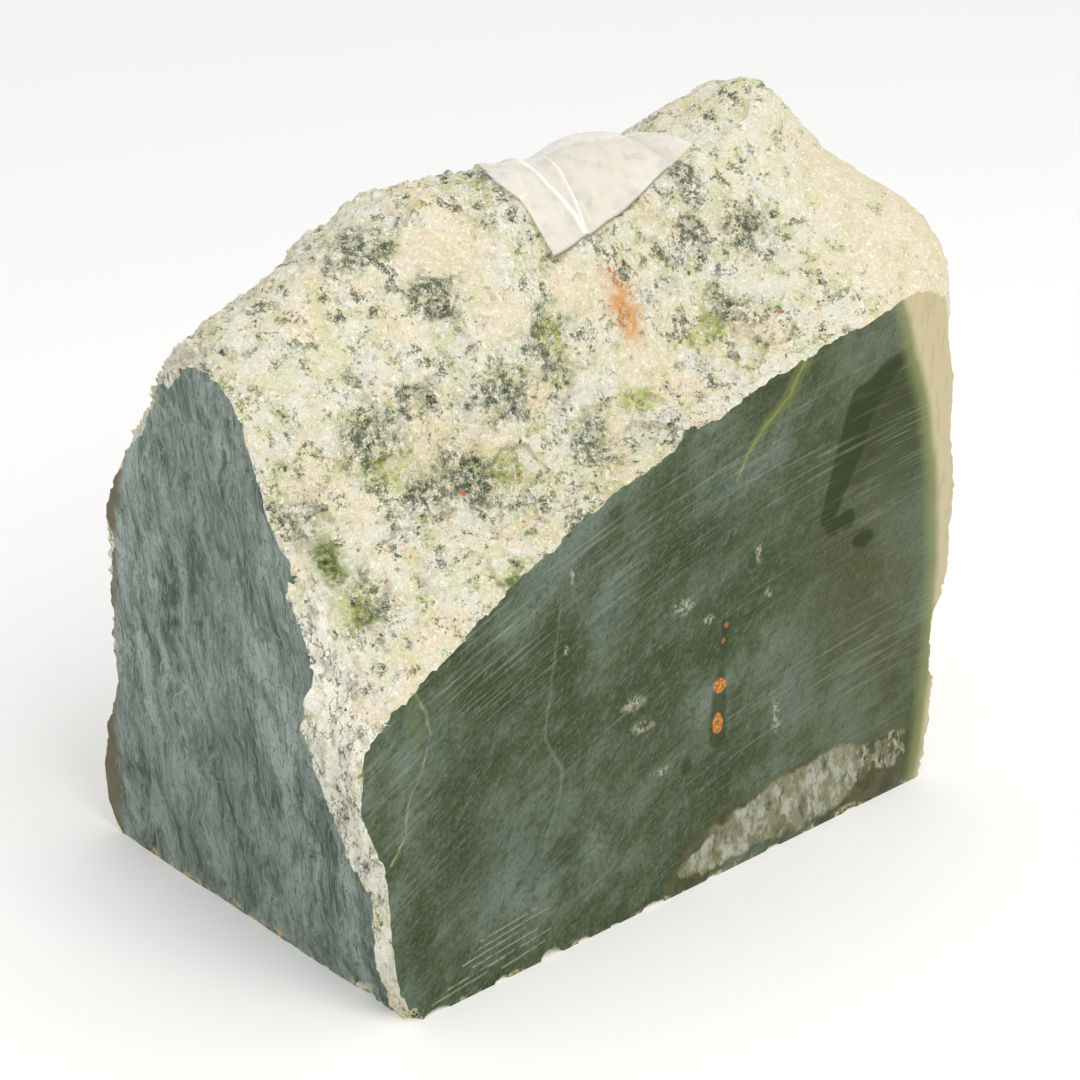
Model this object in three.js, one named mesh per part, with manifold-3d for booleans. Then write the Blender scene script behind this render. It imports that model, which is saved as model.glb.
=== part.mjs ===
// A raw nephrite jade boulder, sawn on the front and underneath, parted along its grain on the left and still
// in its natural skin on the top, back and right, with a strip of clear packing tape stuck over its ridge.
//
// Millimetres, +Z up. The stone is laid out from the point where the front cut, the left parting and the base
// meet: X runs right along the front, Y runs back and Z runs up. The finished group is then moved so that its
// origin is the middle of the stone's box, at base height.

import * as THREE from "three";
import { mergeVertices } from "three/addons/utils/BufferGeometryUtils.js";
import Module from "manifold-3d";

// ---- Driving dimensions ----

const FRONT_LEAN = THREE.MathUtils.degToRad(4); // the front cut leans back as it rises
const LEFT_LEAN = THREE.MathUtils.degToRad(5); // the left parting leans out as it rises
const HEART = new THREE.Vector3(88, 56, 72); // inside the stone, and every surface point is in sight of it
const SKIN_EDGE_CUTS = 19; // the skin starts as an icosahedron with this many cuts in each edge
const CLEAR = 60; // how far a cutting block runs past the stone
const BLOCK = 400; // side of a cutting block, larger than the stone

// Pits in the skin, as [depth, distance between them], and how far they hollow it on average.
const PITS = [
  [2.6, 24],
  [1.5, 10],
];
const PITS_ON_AVERAGE = 1.5;

const TAPE_LENGTH_STEPS = 22;
const TAPE_WIDTH_STEPS = 14;
const TAPE_THICKNESS = 0.5;
const TAPE_GAP = 0.4; // between the tape and the high points of the skin

// ---- The natural skin, as the places that it passes through ----

const SKIN_ON_FRONT = [
  [-2, 0, 0], [-4, 1, 14], [-4, 2, 28], [-5, 3, 42], [-9, 4, 54], [-10, 5, 66], [-6, 5, 75], [3, 6, 81],
  [16, 6, 88], [33, 7, 98], [55, 8, 107], [78, 8, 115], [104, 9, 122], [132, 9, 129], [160, 9, 133],
  [183, 10, 136], [191, 8, 118], [190, 6, 90], [190, 4, 62], [184, 3, 40], [181, 1, 18], [175, 0, 0],
];

const SKIN_BESIDE_LEFT_PARTING = [
  [-2, 6, 3], [-6, 8, 18], [-8, 12, 34], [-10, 17, 50], [-11, 19, 64], [-12, 19, 84], [-13, 26, 106],
  [-12, 35, 124], [-13, 41, 145],
];

const SKIN_ABOVE_LEFT_PARTING = [
  [-13, 51, 152], [-13, 64, 151], [-12, 75, 140], [-11, 86, 127], [-9, 99, 104], [-7, 106, 76],
  [-4, 113, 42], [-1, 123, 8],
];

const SKIN_ALONG_RIDGE = [
  [0, 67, 158], [6, 63, 161], [18, 61, 166], [31, 61, 170], [45, 61, 176], [68, 60, 177], [88, 61, 176],
  [104, 60, 173], [119, 61, 175], [145, 62, 176], [162, 60, 182], [175, 50, 171], [186, 42, 160],
  [198, 33, 151], [200, 22, 136],
];

const SKIN_ON_SLOPE = [
  [14, 32, 131], [44, 34, 144], [76, 36, 149], [108, 38, 153], [140, 38, 157], [166, 34, 157], [22, 18, 108],
];

const SKIN_BEHIND = [
  [20, 84, 150], [52, 84, 162], [80, 84, 157], [112, 86, 158], [142, 88, 160], [168, 84, 158],
  [34, 106, 112], [92, 112, 116], [148, 110, 116], [30, 120, 60], [92, 124, 60], [150, 117, 60],
  [34, 121, 12], [92, 123, 10], [146, 114, 12],
];

const SKIN_ON_RIGHT = [
  [198, 36, 122], [200, 44, 88], [195, 46, 46], [184, 44, 8], [190, 76, 118], [188, 82, 72], [178, 80, 24],
];

// Where the skin ran before it was cut away.
const SKIN_CUT_AWAY = [
  [88, -26, 70], [30, -20, 40], [145, -24, 80], [88, -18, 6], [150, -14, 20], [-26, 66, 80], [-22, 72, 30],
  [-24, 56, 116], [88, 56, -28], [20, 60, -24], [156, 52, -24],
];

const SKIN = [
  ...SKIN_ON_FRONT,
  ...SKIN_BESIDE_LEFT_PARTING,
  ...SKIN_ABOVE_LEFT_PARTING,
  ...SKIN_ALONG_RIDGE,
  ...SKIN_ON_SLOPE,
  ...SKIN_BEHIND,
  ...SKIN_ON_RIGHT,
  ...SKIN_CUT_AWAY,
];

// The near edge of the left parting, as [y, z] from the base up. The skin in front of it stands proud.
const PARTING_EDGE = [
  [8, -5], [8, 8], [6, 20], [6, 29], [9, 37], [14, 45], [18, 54], [20, 62], [21, 77], [20, 86],
  [22, 95], [26, 106], [27, 114], [28, 128], [32, 140], [38, 150],
];

// The tape's corners: the two on the near slope, then the two behind the ridge. Only their directions from
// HEART count.
const TAPE_NEAR_LEFT = [83, 43, 160];
const TAPE_NEAR_RIGHT = [139, 54, 171];
const TAPE_FAR_LEFT = [70, 92, 158];
const TAPE_FAR_RIGHT = [117, 96, 161];

// ---- Solids, through manifold-3d, which joins and cuts ----

const wasm = await Module();
wasm.setup();

function solidOf(geometry) {
  const bare = new THREE.BufferGeometry().setAttribute("position", geometry.getAttribute("position"));
  if (geometry.index) bare.setIndex(geometry.index);
  const merged = mergeVertices(bare, 1e-4);
  return new wasm.Manifold(
    new wasm.Mesh({
      numProp: 3,
      vertProperties: new Float32Array(merged.attributes.position.array),
      triVerts: new Uint32Array(merged.index.array),
    }),
  );
}

function geometryOf(solid) {
  const mesh = solid.getMesh();
  const positions = new THREE.BufferAttribute(mesh.vertProperties, 3);
  const geometry = new THREE.BufferGeometry().setAttribute("position", positions);
  geometry.setIndex(new THREE.BufferAttribute(mesh.triVerts, 1));
  geometry.computeVertexNormals();
  return geometry;
}

// ---- The skin's reach from HEART in any direction ----

// The smooth surface through all the places of SKIN: a sum of cubes of distances on the unit sphere, plus a
// plane, which is the three-dimensional form of a spline through points.
function smoothReachThrough(places) {
  const directions = [];
  const reaches = [];
  for (const place of places) {
    const arm = new THREE.Vector3(...place).sub(HEART);
    reaches.push(arm.length());
    directions.push(arm.normalize());
  }
  const plane = (d) => [1, d.x, d.y, d.z];
  const count = directions.length;
  const rows = directions.map((d, i) => [
    ...directions.map((other) => d.distanceTo(other) ** 3),
    ...plane(d),
    reaches[i],
  ]);
  for (let k = 0; k < 4; k++) {
    rows.push([...directions.map((d) => plane(d)[k]), 0, 0, 0, 0, 0]);
  }
  const weights = solveRows(rows);
  return (d) => {
    let reach = 0;
    directions.forEach((other, i) => (reach += weights[i] * d.distanceTo(other) ** 3));
    plane(d).forEach((value, k) => (reach += weights[count + k] * value));
    return reach;
  };
}

// Gaussian elimination with row swaps. Each row holds the coefficients and then the right-hand side.
function solveRows(rows) {
  const n = rows.length;
  for (let col = 0; col < n; col++) {
    let pivot = col;
    for (let r = col + 1; r < n; r++) {
      if (Math.abs(rows[r][col]) > Math.abs(rows[pivot][col])) pivot = r;
    }
    [rows[col], rows[pivot]] = [rows[pivot], rows[col]];
    for (let r = col + 1; r < n; r++) {
      const share = rows[r][col] / rows[col][col];
      for (let c = col; c <= n; c++) rows[r][c] -= share * rows[col][c];
    }
  }
  const found = new Array(n).fill(0);
  for (let r = n - 1; r >= 0; r--) {
    let rest = rows[r][n];
    for (let c = r + 1; c < n; c++) rest -= rows[r][c] * found[c];
    found[r] = rest / rows[r][r];
  }
  return found;
}

// A repeatable number from 0 to 1 for a cell of a lattice.
function cellNumber(i, j, k) {
  const mixed = Math.sin(i * 127.1 + j * 311.7 + k * 74.7) * 43758.5453;
  return mixed - Math.floor(mixed);
}

// How near a point is to the middle of its pit, from 0 at the rim to 1, with one pit to each lattice cell.
function pitShare(point, spacing) {
  const p = point.clone().divideScalar(spacing);
  const cell = p.clone().floor();
  let nearest = Infinity;
  for (let i = -1; i <= 1; i++) {
    for (let j = -1; j <= 1; j++) {
      for (let k = -1; k <= 1; k++) {
        const c = cell.clone().add(new THREE.Vector3(i, j, k));
        const middle = new THREE.Vector3(
          c.x + cellNumber(c.x, c.y, c.z),
          c.y + cellNumber(c.y, c.z, c.x),
          c.z + cellNumber(c.z, c.x, c.y),
        );
        nearest = Math.min(nearest, p.distanceTo(middle));
      }
    }
  }
  return Math.max(0, 1 - nearest);
}

const smoothReach = smoothReachThrough(SKIN);

function pittedReach(direction) {
  const reach = smoothReach(direction);
  const place = direction.clone().multiplyScalar(reach).add(HEART);
  let depth = 0;
  for (const [most, spacing] of PITS) depth += most * pitShare(place, spacing);
  return reach + PITS_ON_AVERAGE - depth;
}

// ---- The stone ----

function boulder() {
  const ball = mergeVertices(
    new THREE.IcosahedronGeometry(1, SKIN_EDGE_CUTS).deleteAttribute("normal").deleteAttribute("uv"),
  );
  const place = ball.getAttribute("position");
  const point = new THREE.Vector3();
  for (let i = 0; i < place.count; i++) {
    point.fromBufferAttribute(place, i).normalize();
    const reach = pittedReach(point);
    point.multiplyScalar(reach).add(HEART);
    place.setXYZ(i, point.x, point.y, point.z);
  }
  return solidOf(ball);
}

// All that lies in front of the front cut.
function beyondFrontCut() {
  const block = new THREE.BoxGeometry(2 * BLOCK, BLOCK, 2 * BLOCK);
  return solidOf(block.translate(0, -BLOCK / 2, 0).rotateX(-FRONT_LEAN));
}

// All that lies below the base.
function belowBase() {
  const block = new THREE.BoxGeometry(2 * BLOCK, 2 * BLOCK, BLOCK);
  return solidOf(block.translate(0, 0, -BLOCK / 2));
}

// What came away along the left parting. Its outline follows PARTING_EDGE and then runs clear of the stone.
function awayFromLeftParting() {
  const edge = PARTING_EDGE.map(([y, z]) => new THREE.Vector2(y, z));
  const lowest = edge[0];
  const highest = edge[edge.length - 1];
  const outline = new THREE.Shape([
    ...edge,
    new THREE.Vector2(highest.x, highest.y + CLEAR),
    new THREE.Vector2(BLOCK, highest.y + CLEAR),
    new THREE.Vector2(BLOCK, lowest.y),
  ]);
  const away = new THREE.ExtrudeGeometry(outline, { depth: CLEAR, bevelEnabled: false });
  // The outline's own x and y become Y and Z, and its depth runs left from the parting.
  const turn = new THREE.Matrix4().makeBasis(
    new THREE.Vector3(0, 1, 0),
    new THREE.Vector3(-Math.tan(LEFT_LEAN), 0, 1),
    new THREE.Vector3(1, 0, 0),
  );
  return solidOf(away.translate(0, 0, -CLEAR).applyMatrix4(turn));
}

function makeStone() {
  const solid = boulder().subtract(beyondFrontCut()).subtract(belowBase()).subtract(awayFromLeftParting());
  const material = new THREE.MeshStandardMaterial({ color: 0x54695a, roughness: 0.7, metalness: 0 });
  const stone = new THREE.Mesh(geometryOf(solid), material);
  stone.name = "jade_stone";
  return stone;
}

// ---- The tape ----

// A point of the tape: u runs across its width, v along its length, and height above its underside.
function tapePoint(u, v, height) {
  const corner = (place) => new THREE.Vector3(...place);
  const near = corner(TAPE_NEAR_LEFT).lerp(corner(TAPE_NEAR_RIGHT), u);
  const far = corner(TAPE_FAR_LEFT).lerp(corner(TAPE_FAR_RIGHT), u);
  const direction = near.lerp(far, v).sub(HEART).normalize();
  const reach = smoothReach(direction) + PITS_ON_AVERAGE + TAPE_GAP + height;
  return direction.multiplyScalar(reach).add(HEART);
}

function makeTape() {
  const columns = TAPE_WIDTH_STEPS + 1;
  const sheet = columns * (TAPE_LENGTH_STEPS + 1);
  const points = [];
  for (const height of [0, TAPE_THICKNESS]) {
    for (let row = 0; row <= TAPE_LENGTH_STEPS; row++) {
      for (let col = 0; col < columns; col++) {
        points.push(tapePoint(col / TAPE_WIDTH_STEPS, row / TAPE_LENGTH_STEPS, height));
      }
    }
  }
  const faces = [];
  const quad = (a, b, c, d) => faces.push(a, b, c, a, c, d);
  for (let row = 0; row < TAPE_LENGTH_STEPS; row++) {
    for (let col = 0; col < TAPE_WIDTH_STEPS; col++) {
      const a = row * columns + col;
      quad(sheet + a, sheet + a + 1, sheet + a + columns + 1, sheet + a + columns);
      quad(a, a + columns, a + columns + 1, a + 1);
    }
  }
  const rim = tapeRim(columns);
  rim.forEach((a, i) => {
    const b = rim[(i + 1) % rim.length];
    quad(a, b, sheet + b, sheet + a);
  });
  const geometry = new THREE.BufferGeometry().setFromPoints(points);
  geometry.setIndex(faces);
  geometry.computeVertexNormals();
  const material = new THREE.MeshStandardMaterial({
    color: 0xdedbd2,
    roughness: 0.25,
    metalness: 0,
    transparent: true,
    opacity: 0.6,
  });
  const tape = new THREE.Mesh(geometry, material);
  tape.name = "tape_strip";
  return tape;
}

// The points round the edge of the tape's underside, in order.
function tapeRim(columns) {
  const last = TAPE_LENGTH_STEPS * columns;
  const rim = [];
  for (let col = 0; col < TAPE_WIDTH_STEPS; col++) rim.push(col);
  for (let row = 0; row < TAPE_LENGTH_STEPS; row++) rim.push(row * columns + TAPE_WIDTH_STEPS);
  for (let col = TAPE_WIDTH_STEPS; col > 0; col--) rim.push(last + col);
  for (let row = TAPE_LENGTH_STEPS; row > 0; row--) rim.push(row * columns);
  return rim;
}

// ---- The object ----

function makeObject() {
  const stone = makeStone();
  const tape = makeTape();
  const object = new THREE.Group();
  object.add(stone, tape);
  const box = new THREE.Box3().setFromObject(object);
  const middle = box.getCenter(new THREE.Vector3());
  object.position.set(-middle.x, -middle.y, -box.min.z);
  return object;
}

export default makeObject();
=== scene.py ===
"""A raw jade boulder: its fine surface and finishes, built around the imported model.

The stone is one piece with four kinds of surface: the natural skin, the front that a saw cut, the left side
that parted along the grain, and the sawn base. A strip of clear tape is stuck over its ridge. Lengths are in
metres in the meshes and in millimetres in the finishes' patterns.
"""

import logging
import math
from collections.abc import Callable
from dataclasses import dataclass, field
from enum import IntEnum

import bpy
import numpy as np
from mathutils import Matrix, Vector, noise
from mathutils.bvhtree import BVHTree


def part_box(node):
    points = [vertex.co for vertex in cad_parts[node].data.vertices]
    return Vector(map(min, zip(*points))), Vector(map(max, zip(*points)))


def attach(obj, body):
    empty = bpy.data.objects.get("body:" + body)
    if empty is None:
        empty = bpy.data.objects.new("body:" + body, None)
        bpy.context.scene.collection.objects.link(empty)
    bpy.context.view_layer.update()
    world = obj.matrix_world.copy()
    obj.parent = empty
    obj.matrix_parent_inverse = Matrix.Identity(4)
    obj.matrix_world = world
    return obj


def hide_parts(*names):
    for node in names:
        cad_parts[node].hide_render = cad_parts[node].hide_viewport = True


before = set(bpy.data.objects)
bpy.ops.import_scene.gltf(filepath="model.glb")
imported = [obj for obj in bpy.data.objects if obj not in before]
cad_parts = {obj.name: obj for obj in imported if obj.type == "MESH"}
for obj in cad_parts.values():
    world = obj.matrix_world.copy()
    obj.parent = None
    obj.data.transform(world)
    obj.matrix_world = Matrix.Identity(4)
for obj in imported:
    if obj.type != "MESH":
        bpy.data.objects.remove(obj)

Colour = tuple[float, float, float]
Place = tuple[float, float, float]
Spot = tuple[float, float]
# A spot's centre and then its reach.
Row = tuple[float, float, float, float, float, float]

MM = 0.001
log = logging.getLogger("jade_boulder")


class Surface(IntEnum):
    """The stone's kinds of surface, which are its material slots in this order."""

    SKIN = 0
    SAWN = 1
    PARTED = 2
    BASE = 3


# ---- Small helpers over bpy.ops ----


def deselect_all() -> None:
    """Leaves nothing selected and no object in edit mode."""
    if bpy.context.object and bpy.context.object.mode != "OBJECT":
        bpy.ops.object.mode_set(mode="OBJECT")
    bpy.ops.object.select_all(action="DESELECT")


def pick(piece: bpy.types.Object) -> None:
    """Selects one object alone and makes it active.

    Args:
        piece: The object to select.
    """
    deselect_all()
    piece.select_set(True)
    bpy.context.view_layer.objects.active = piece


def apply_modifier(piece: bpy.types.Object, kind: str, **settings: object) -> None:
    """Adds a modifier with its settings and applies it.

    Args:
        piece: The object to change.
        kind: The modifier's type, such as "DISPLACE".
        settings: The modifier's properties.
    """
    pick(piece)
    modifier = piece.modifiers.new(kind.lower(), kind)
    for name, value in settings.items():
        setattr(modifier, name, value)
    bpy.ops.object.modifier_apply(modifier=modifier.name)


def remove(piece: bpy.types.Object) -> None:
    """Deletes an object and its mesh.

    Args:
        piece: A mesh object that is no longer needed.
    """
    mesh = piece.data
    bpy.data.objects.remove(piece)
    bpy.data.meshes.remove(mesh)


def points_of(mesh: bpy.types.Mesh) -> np.ndarray:
    """A mesh's vertices.

    Args:
        mesh: Any mesh.

    Returns:
        An array of one row of X, Y and Z to a vertex.
    """
    flat = np.empty(len(mesh.vertices) * 3, np.float64)
    mesh.vertices.foreach_get("co", flat)
    return flat.reshape(-1, 3)


def put_points(mesh: bpy.types.Mesh, points: np.ndarray) -> None:
    """Moves a mesh's vertices.

    Args:
        mesh: The mesh to change.
        points: One row of X, Y and Z to a vertex.
    """
    mesh.vertices.foreach_set("co", points.astype(np.float32).ravel())
    mesh.update()


def faces_of(mesh: bpy.types.Mesh) -> tuple[np.ndarray, np.ndarray]:
    """A mesh's face middles and normals.

    Args:
        mesh: Any mesh.

    Returns:
        Two arrays of one row to a face: the middles, then the normals.
    """
    middles = np.empty(len(mesh.polygons) * 3)
    normals = np.empty(len(mesh.polygons) * 3)
    mesh.polygons.foreach_get("center", middles)
    mesh.polygons.foreach_get("normal", normals)
    return middles.reshape(-1, 3), normals.reshape(-1, 3)


def face_out(before: Callable[[], object] | None = None) -> None:
    """Turns all the active object's faces outward, after an edit-mode step on the whole of it, if one is given."""
    bpy.ops.object.mode_set(mode="EDIT")
    bpy.ops.mesh.select_all(action="SELECT")
    if before:
        before()
        bpy.ops.mesh.select_all(action="SELECT")
    bpy.ops.mesh.normals_make_consistent(inside=False)
    bpy.ops.object.mode_set(mode="OBJECT")


def thicken(way: Place | np.ndarray) -> None:
    """Pulls the active object's flat outline out into a closed block, by a vector in metres."""
    face_out(lambda: bpy.ops.mesh.extrude_region_move(TRANSFORM_OT_translate={"value": way}))


def store(mesh: bpy.types.Mesh, name: str, values: np.ndarray) -> None:
    """Stores one number to a vertex, for the finishes to read by its name."""
    layer = mesh.attributes.new(name, "FLOAT", "POINT")
    layer.data.foreach_set("value", values.astype(np.float32))


def roughen(piece: bpy.types.Object, name: str, kind: str, size: float, height: float, **texture: object) -> None:
    """Raises and lowers a surface by a procedural texture, half of the height each way.

    Args:
        piece: The object to change.
        name: The texture's name.
        kind: Blender's texture type, such as "CLOUDS".
        size: The size of the texture's lumps, in metres.
        height: The full height of the relief, in metres.
        texture: More properties of the texture. vertex_group names the group that scales the relief.
    """
    group = str(texture.pop("vertex_group", ""))
    pattern = bpy.data.textures.new(name, kind)
    pattern.noise_scale = size
    for key, value in texture.items():
        setattr(pattern, key, value)
    apply_modifier(
        piece,
        "DISPLACE",
        texture=pattern,
        texture_coords="LOCAL",
        strength=height,
        mid_level=0.5,
        vertex_group=group,
    )


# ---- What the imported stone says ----


@dataclass(frozen=True)
class FlatFace:
    """One of the stone's flat faces."""

    point: np.ndarray
    normal: np.ndarray

    def height(self, points: np.ndarray) -> np.ndarray:
        """How far points stand out of the face, in metres."""
        return (points - self.point) @ self.normal


@dataclass
class PackedStone:
    """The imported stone, read for the fine surface that replaces it."""

    node: str = "jade_stone"
    same_plane: float = 0.05 * MM
    fit_slack: float = 1e-4
    merge_within: float = 1e-6
    # How many directions are worked out together, to spare memory.
    at_a_time: int = 20_000
    # How far back from the corner the step beside the left parting ends.
    step_ends: float = 40 * MM
    # Inside the stone, and every surface point is in sight of it. From the corner, in mm.
    heart_place: Place = (88, 56, 72)
    # Where the skin ran before it was cut away. From the corner, in mm.
    cut_away: tuple[Place, ...] = (
        (88, -26, 70), (30, -20, 40), (145, -24, 80), (88, -18, 6), (150, -14, 20), (-26, 66, 80), (-22, 72, 30),
        (-24, 56, 116), (88, 56, -28), (20, 60, -24), (156, 52, -24),
    )  # fmt: skip

    def __post_init__(self) -> None:
        """Copies and merges the node's mesh, then finds its flat faces and the smooth reach of its skin."""
        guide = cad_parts[self.node].copy()
        guide.data = guide.data.copy()
        guide.parent = None
        bpy.context.scene.collection.objects.link(guide)
        pick(guide)
        bpy.ops.object.mode_set(mode="EDIT")
        bpy.ops.mesh.select_all(action="SELECT")
        bpy.ops.mesh.remove_doubles(threshold=self.merge_within)
        bpy.ops.object.mode_set(mode="OBJECT")
        self.points = points_of(guide.data)
        self.corners = [list(face.vertices) for face in guide.data.polygons]
        self.middles, self.normals = faces_of(guide.data)
        self.areas = np.array([face.area for face in guide.data.polygons])
        low, high = (np.array(corner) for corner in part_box(self.node))
        self.low, self.high = low, high
        self.front = self.flat_face((0, -1, 0))
        self.left = self.flat_face((-1, 0, 0))
        self.base = self.flat_face((0, 0, -1))
        self.flats = (self.front, self.left, self.base)
        self.corner = self._corner()
        self.heart = self.place(self.heart_place)
        self._fit_skin()
        remove(guide)

    def flat_face(self, towards: Place) -> FlatFace:
        """Finds the largest flat face that looks roughly one way.

        Args:
            towards: The way that the face looks.

        Returns:
            The face.
        """
        facing = np.flatnonzero(self.normals @ np.array(towards) > 0.98)
        offsets = np.einsum("ij,ij->i", self.middles[facing], self.normals[facing])
        keys = np.round(np.column_stack([self.normals[facing] * 500, offsets / self.same_plane / 10])).astype(int)
        _, group = np.unique(keys, axis=0, return_inverse=True)
        group = group.ravel()
        area = np.bincount(group, weights=self.areas[facing])
        chosen = facing[group == np.argmax(area)]
        normal = np.average(self.normals[chosen], axis=0, weights=self.areas[chosen])
        return FlatFace(self.middles[chosen[0]], normal / np.linalg.norm(normal))

    def _corner(self) -> np.ndarray:
        """The point where the front cut, the left parting and the base meet."""
        normals = np.array([face.normal for face in self.flats])
        return np.linalg.solve(normals, np.array([face.normal @ face.point for face in self.flats]))

    def place(self, from_corner: Place) -> np.ndarray:
        """A point in metres from one given in mm from the corner."""
        return self.corner + np.array(from_corner) * MM

    def _fit_skin(self) -> None:
        """Fits a spline over directions from the heart, through the skin and on past where it was cut."""
        gone = np.array([self.place(place) for place in self.cut_away])
        arms = np.vstack([self._skin_points(), gone]) - self.heart
        reach = np.linalg.norm(arms, axis=1)
        self.directions = arms / reach[:, None]
        count = len(reach)
        kernel = self._kernel(self.directions) + self.fit_slack * np.eye(count)
        plane = np.hstack([np.ones((count, 1)), self.directions])
        system = np.block([[kernel, plane], [plane.T, np.zeros((4, 4))]])
        self.weights = np.linalg.solve(system, np.concatenate([reach, np.zeros(4)]))

    def _skin_points(self) -> np.ndarray:
        """The skin's vertices, with those round its edges, but not those at the foot of the parting's step."""
        flat_face = np.any([np.abs(f.height(self.middles)) < self.same_plane for f in self.flats], axis=0)
        on_skin = np.zeros(len(self.points), bool)
        on_skin[np.concatenate([self.corners[i] for i in np.flatnonzero(~flat_face)])] = True
        behind = self.points[:, 1] - self.corner[1]
        step_foot = (np.abs(self.left.height(self.points)) < self.same_plane) & (behind < self.step_ends)
        return self.points[on_skin & ~step_foot]

    def _kernel(self, directions: np.ndarray) -> np.ndarray:
        """Cubed distances on the unit sphere from each direction to each fitted one."""
        cosines = np.clip(directions @ self.directions.T, -1, 1)
        return (2 - 2 * cosines) ** 1.5

    def reach(self, directions: np.ndarray) -> np.ndarray:
        """The smooth skin's distance from the heart.

        Args:
            directions: Unit vectors, one to a row.

        Returns:
            One distance to a direction, in metres.
        """
        found = np.empty(len(directions))
        count = len(self.directions)
        for start in range(0, len(directions), self.at_a_time):
            part = directions[start : start + self.at_a_time]
            plane = self.weights[count] + part @ self.weights[count + 1 :]
            found[start : start + self.at_a_time] = self._kernel(part) @ self.weights[:count] + plane
        return found

    def skin_depth(self, points: np.ndarray) -> np.ndarray:
        """How deep points lie under the smooth skin, along their line from the heart, in metres."""
        arms = points - self.heart
        lengths = np.linalg.norm(arms, axis=1)
        return self.reach(arms / lengths[:, None]) - lengths


# ---- The stone ----


@dataclass(frozen=True)
class Chips:
    """One size of the flat chips that the skin is broken into, in mm."""

    size: float
    height: float
    tilt: float
    draw: float


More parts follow.
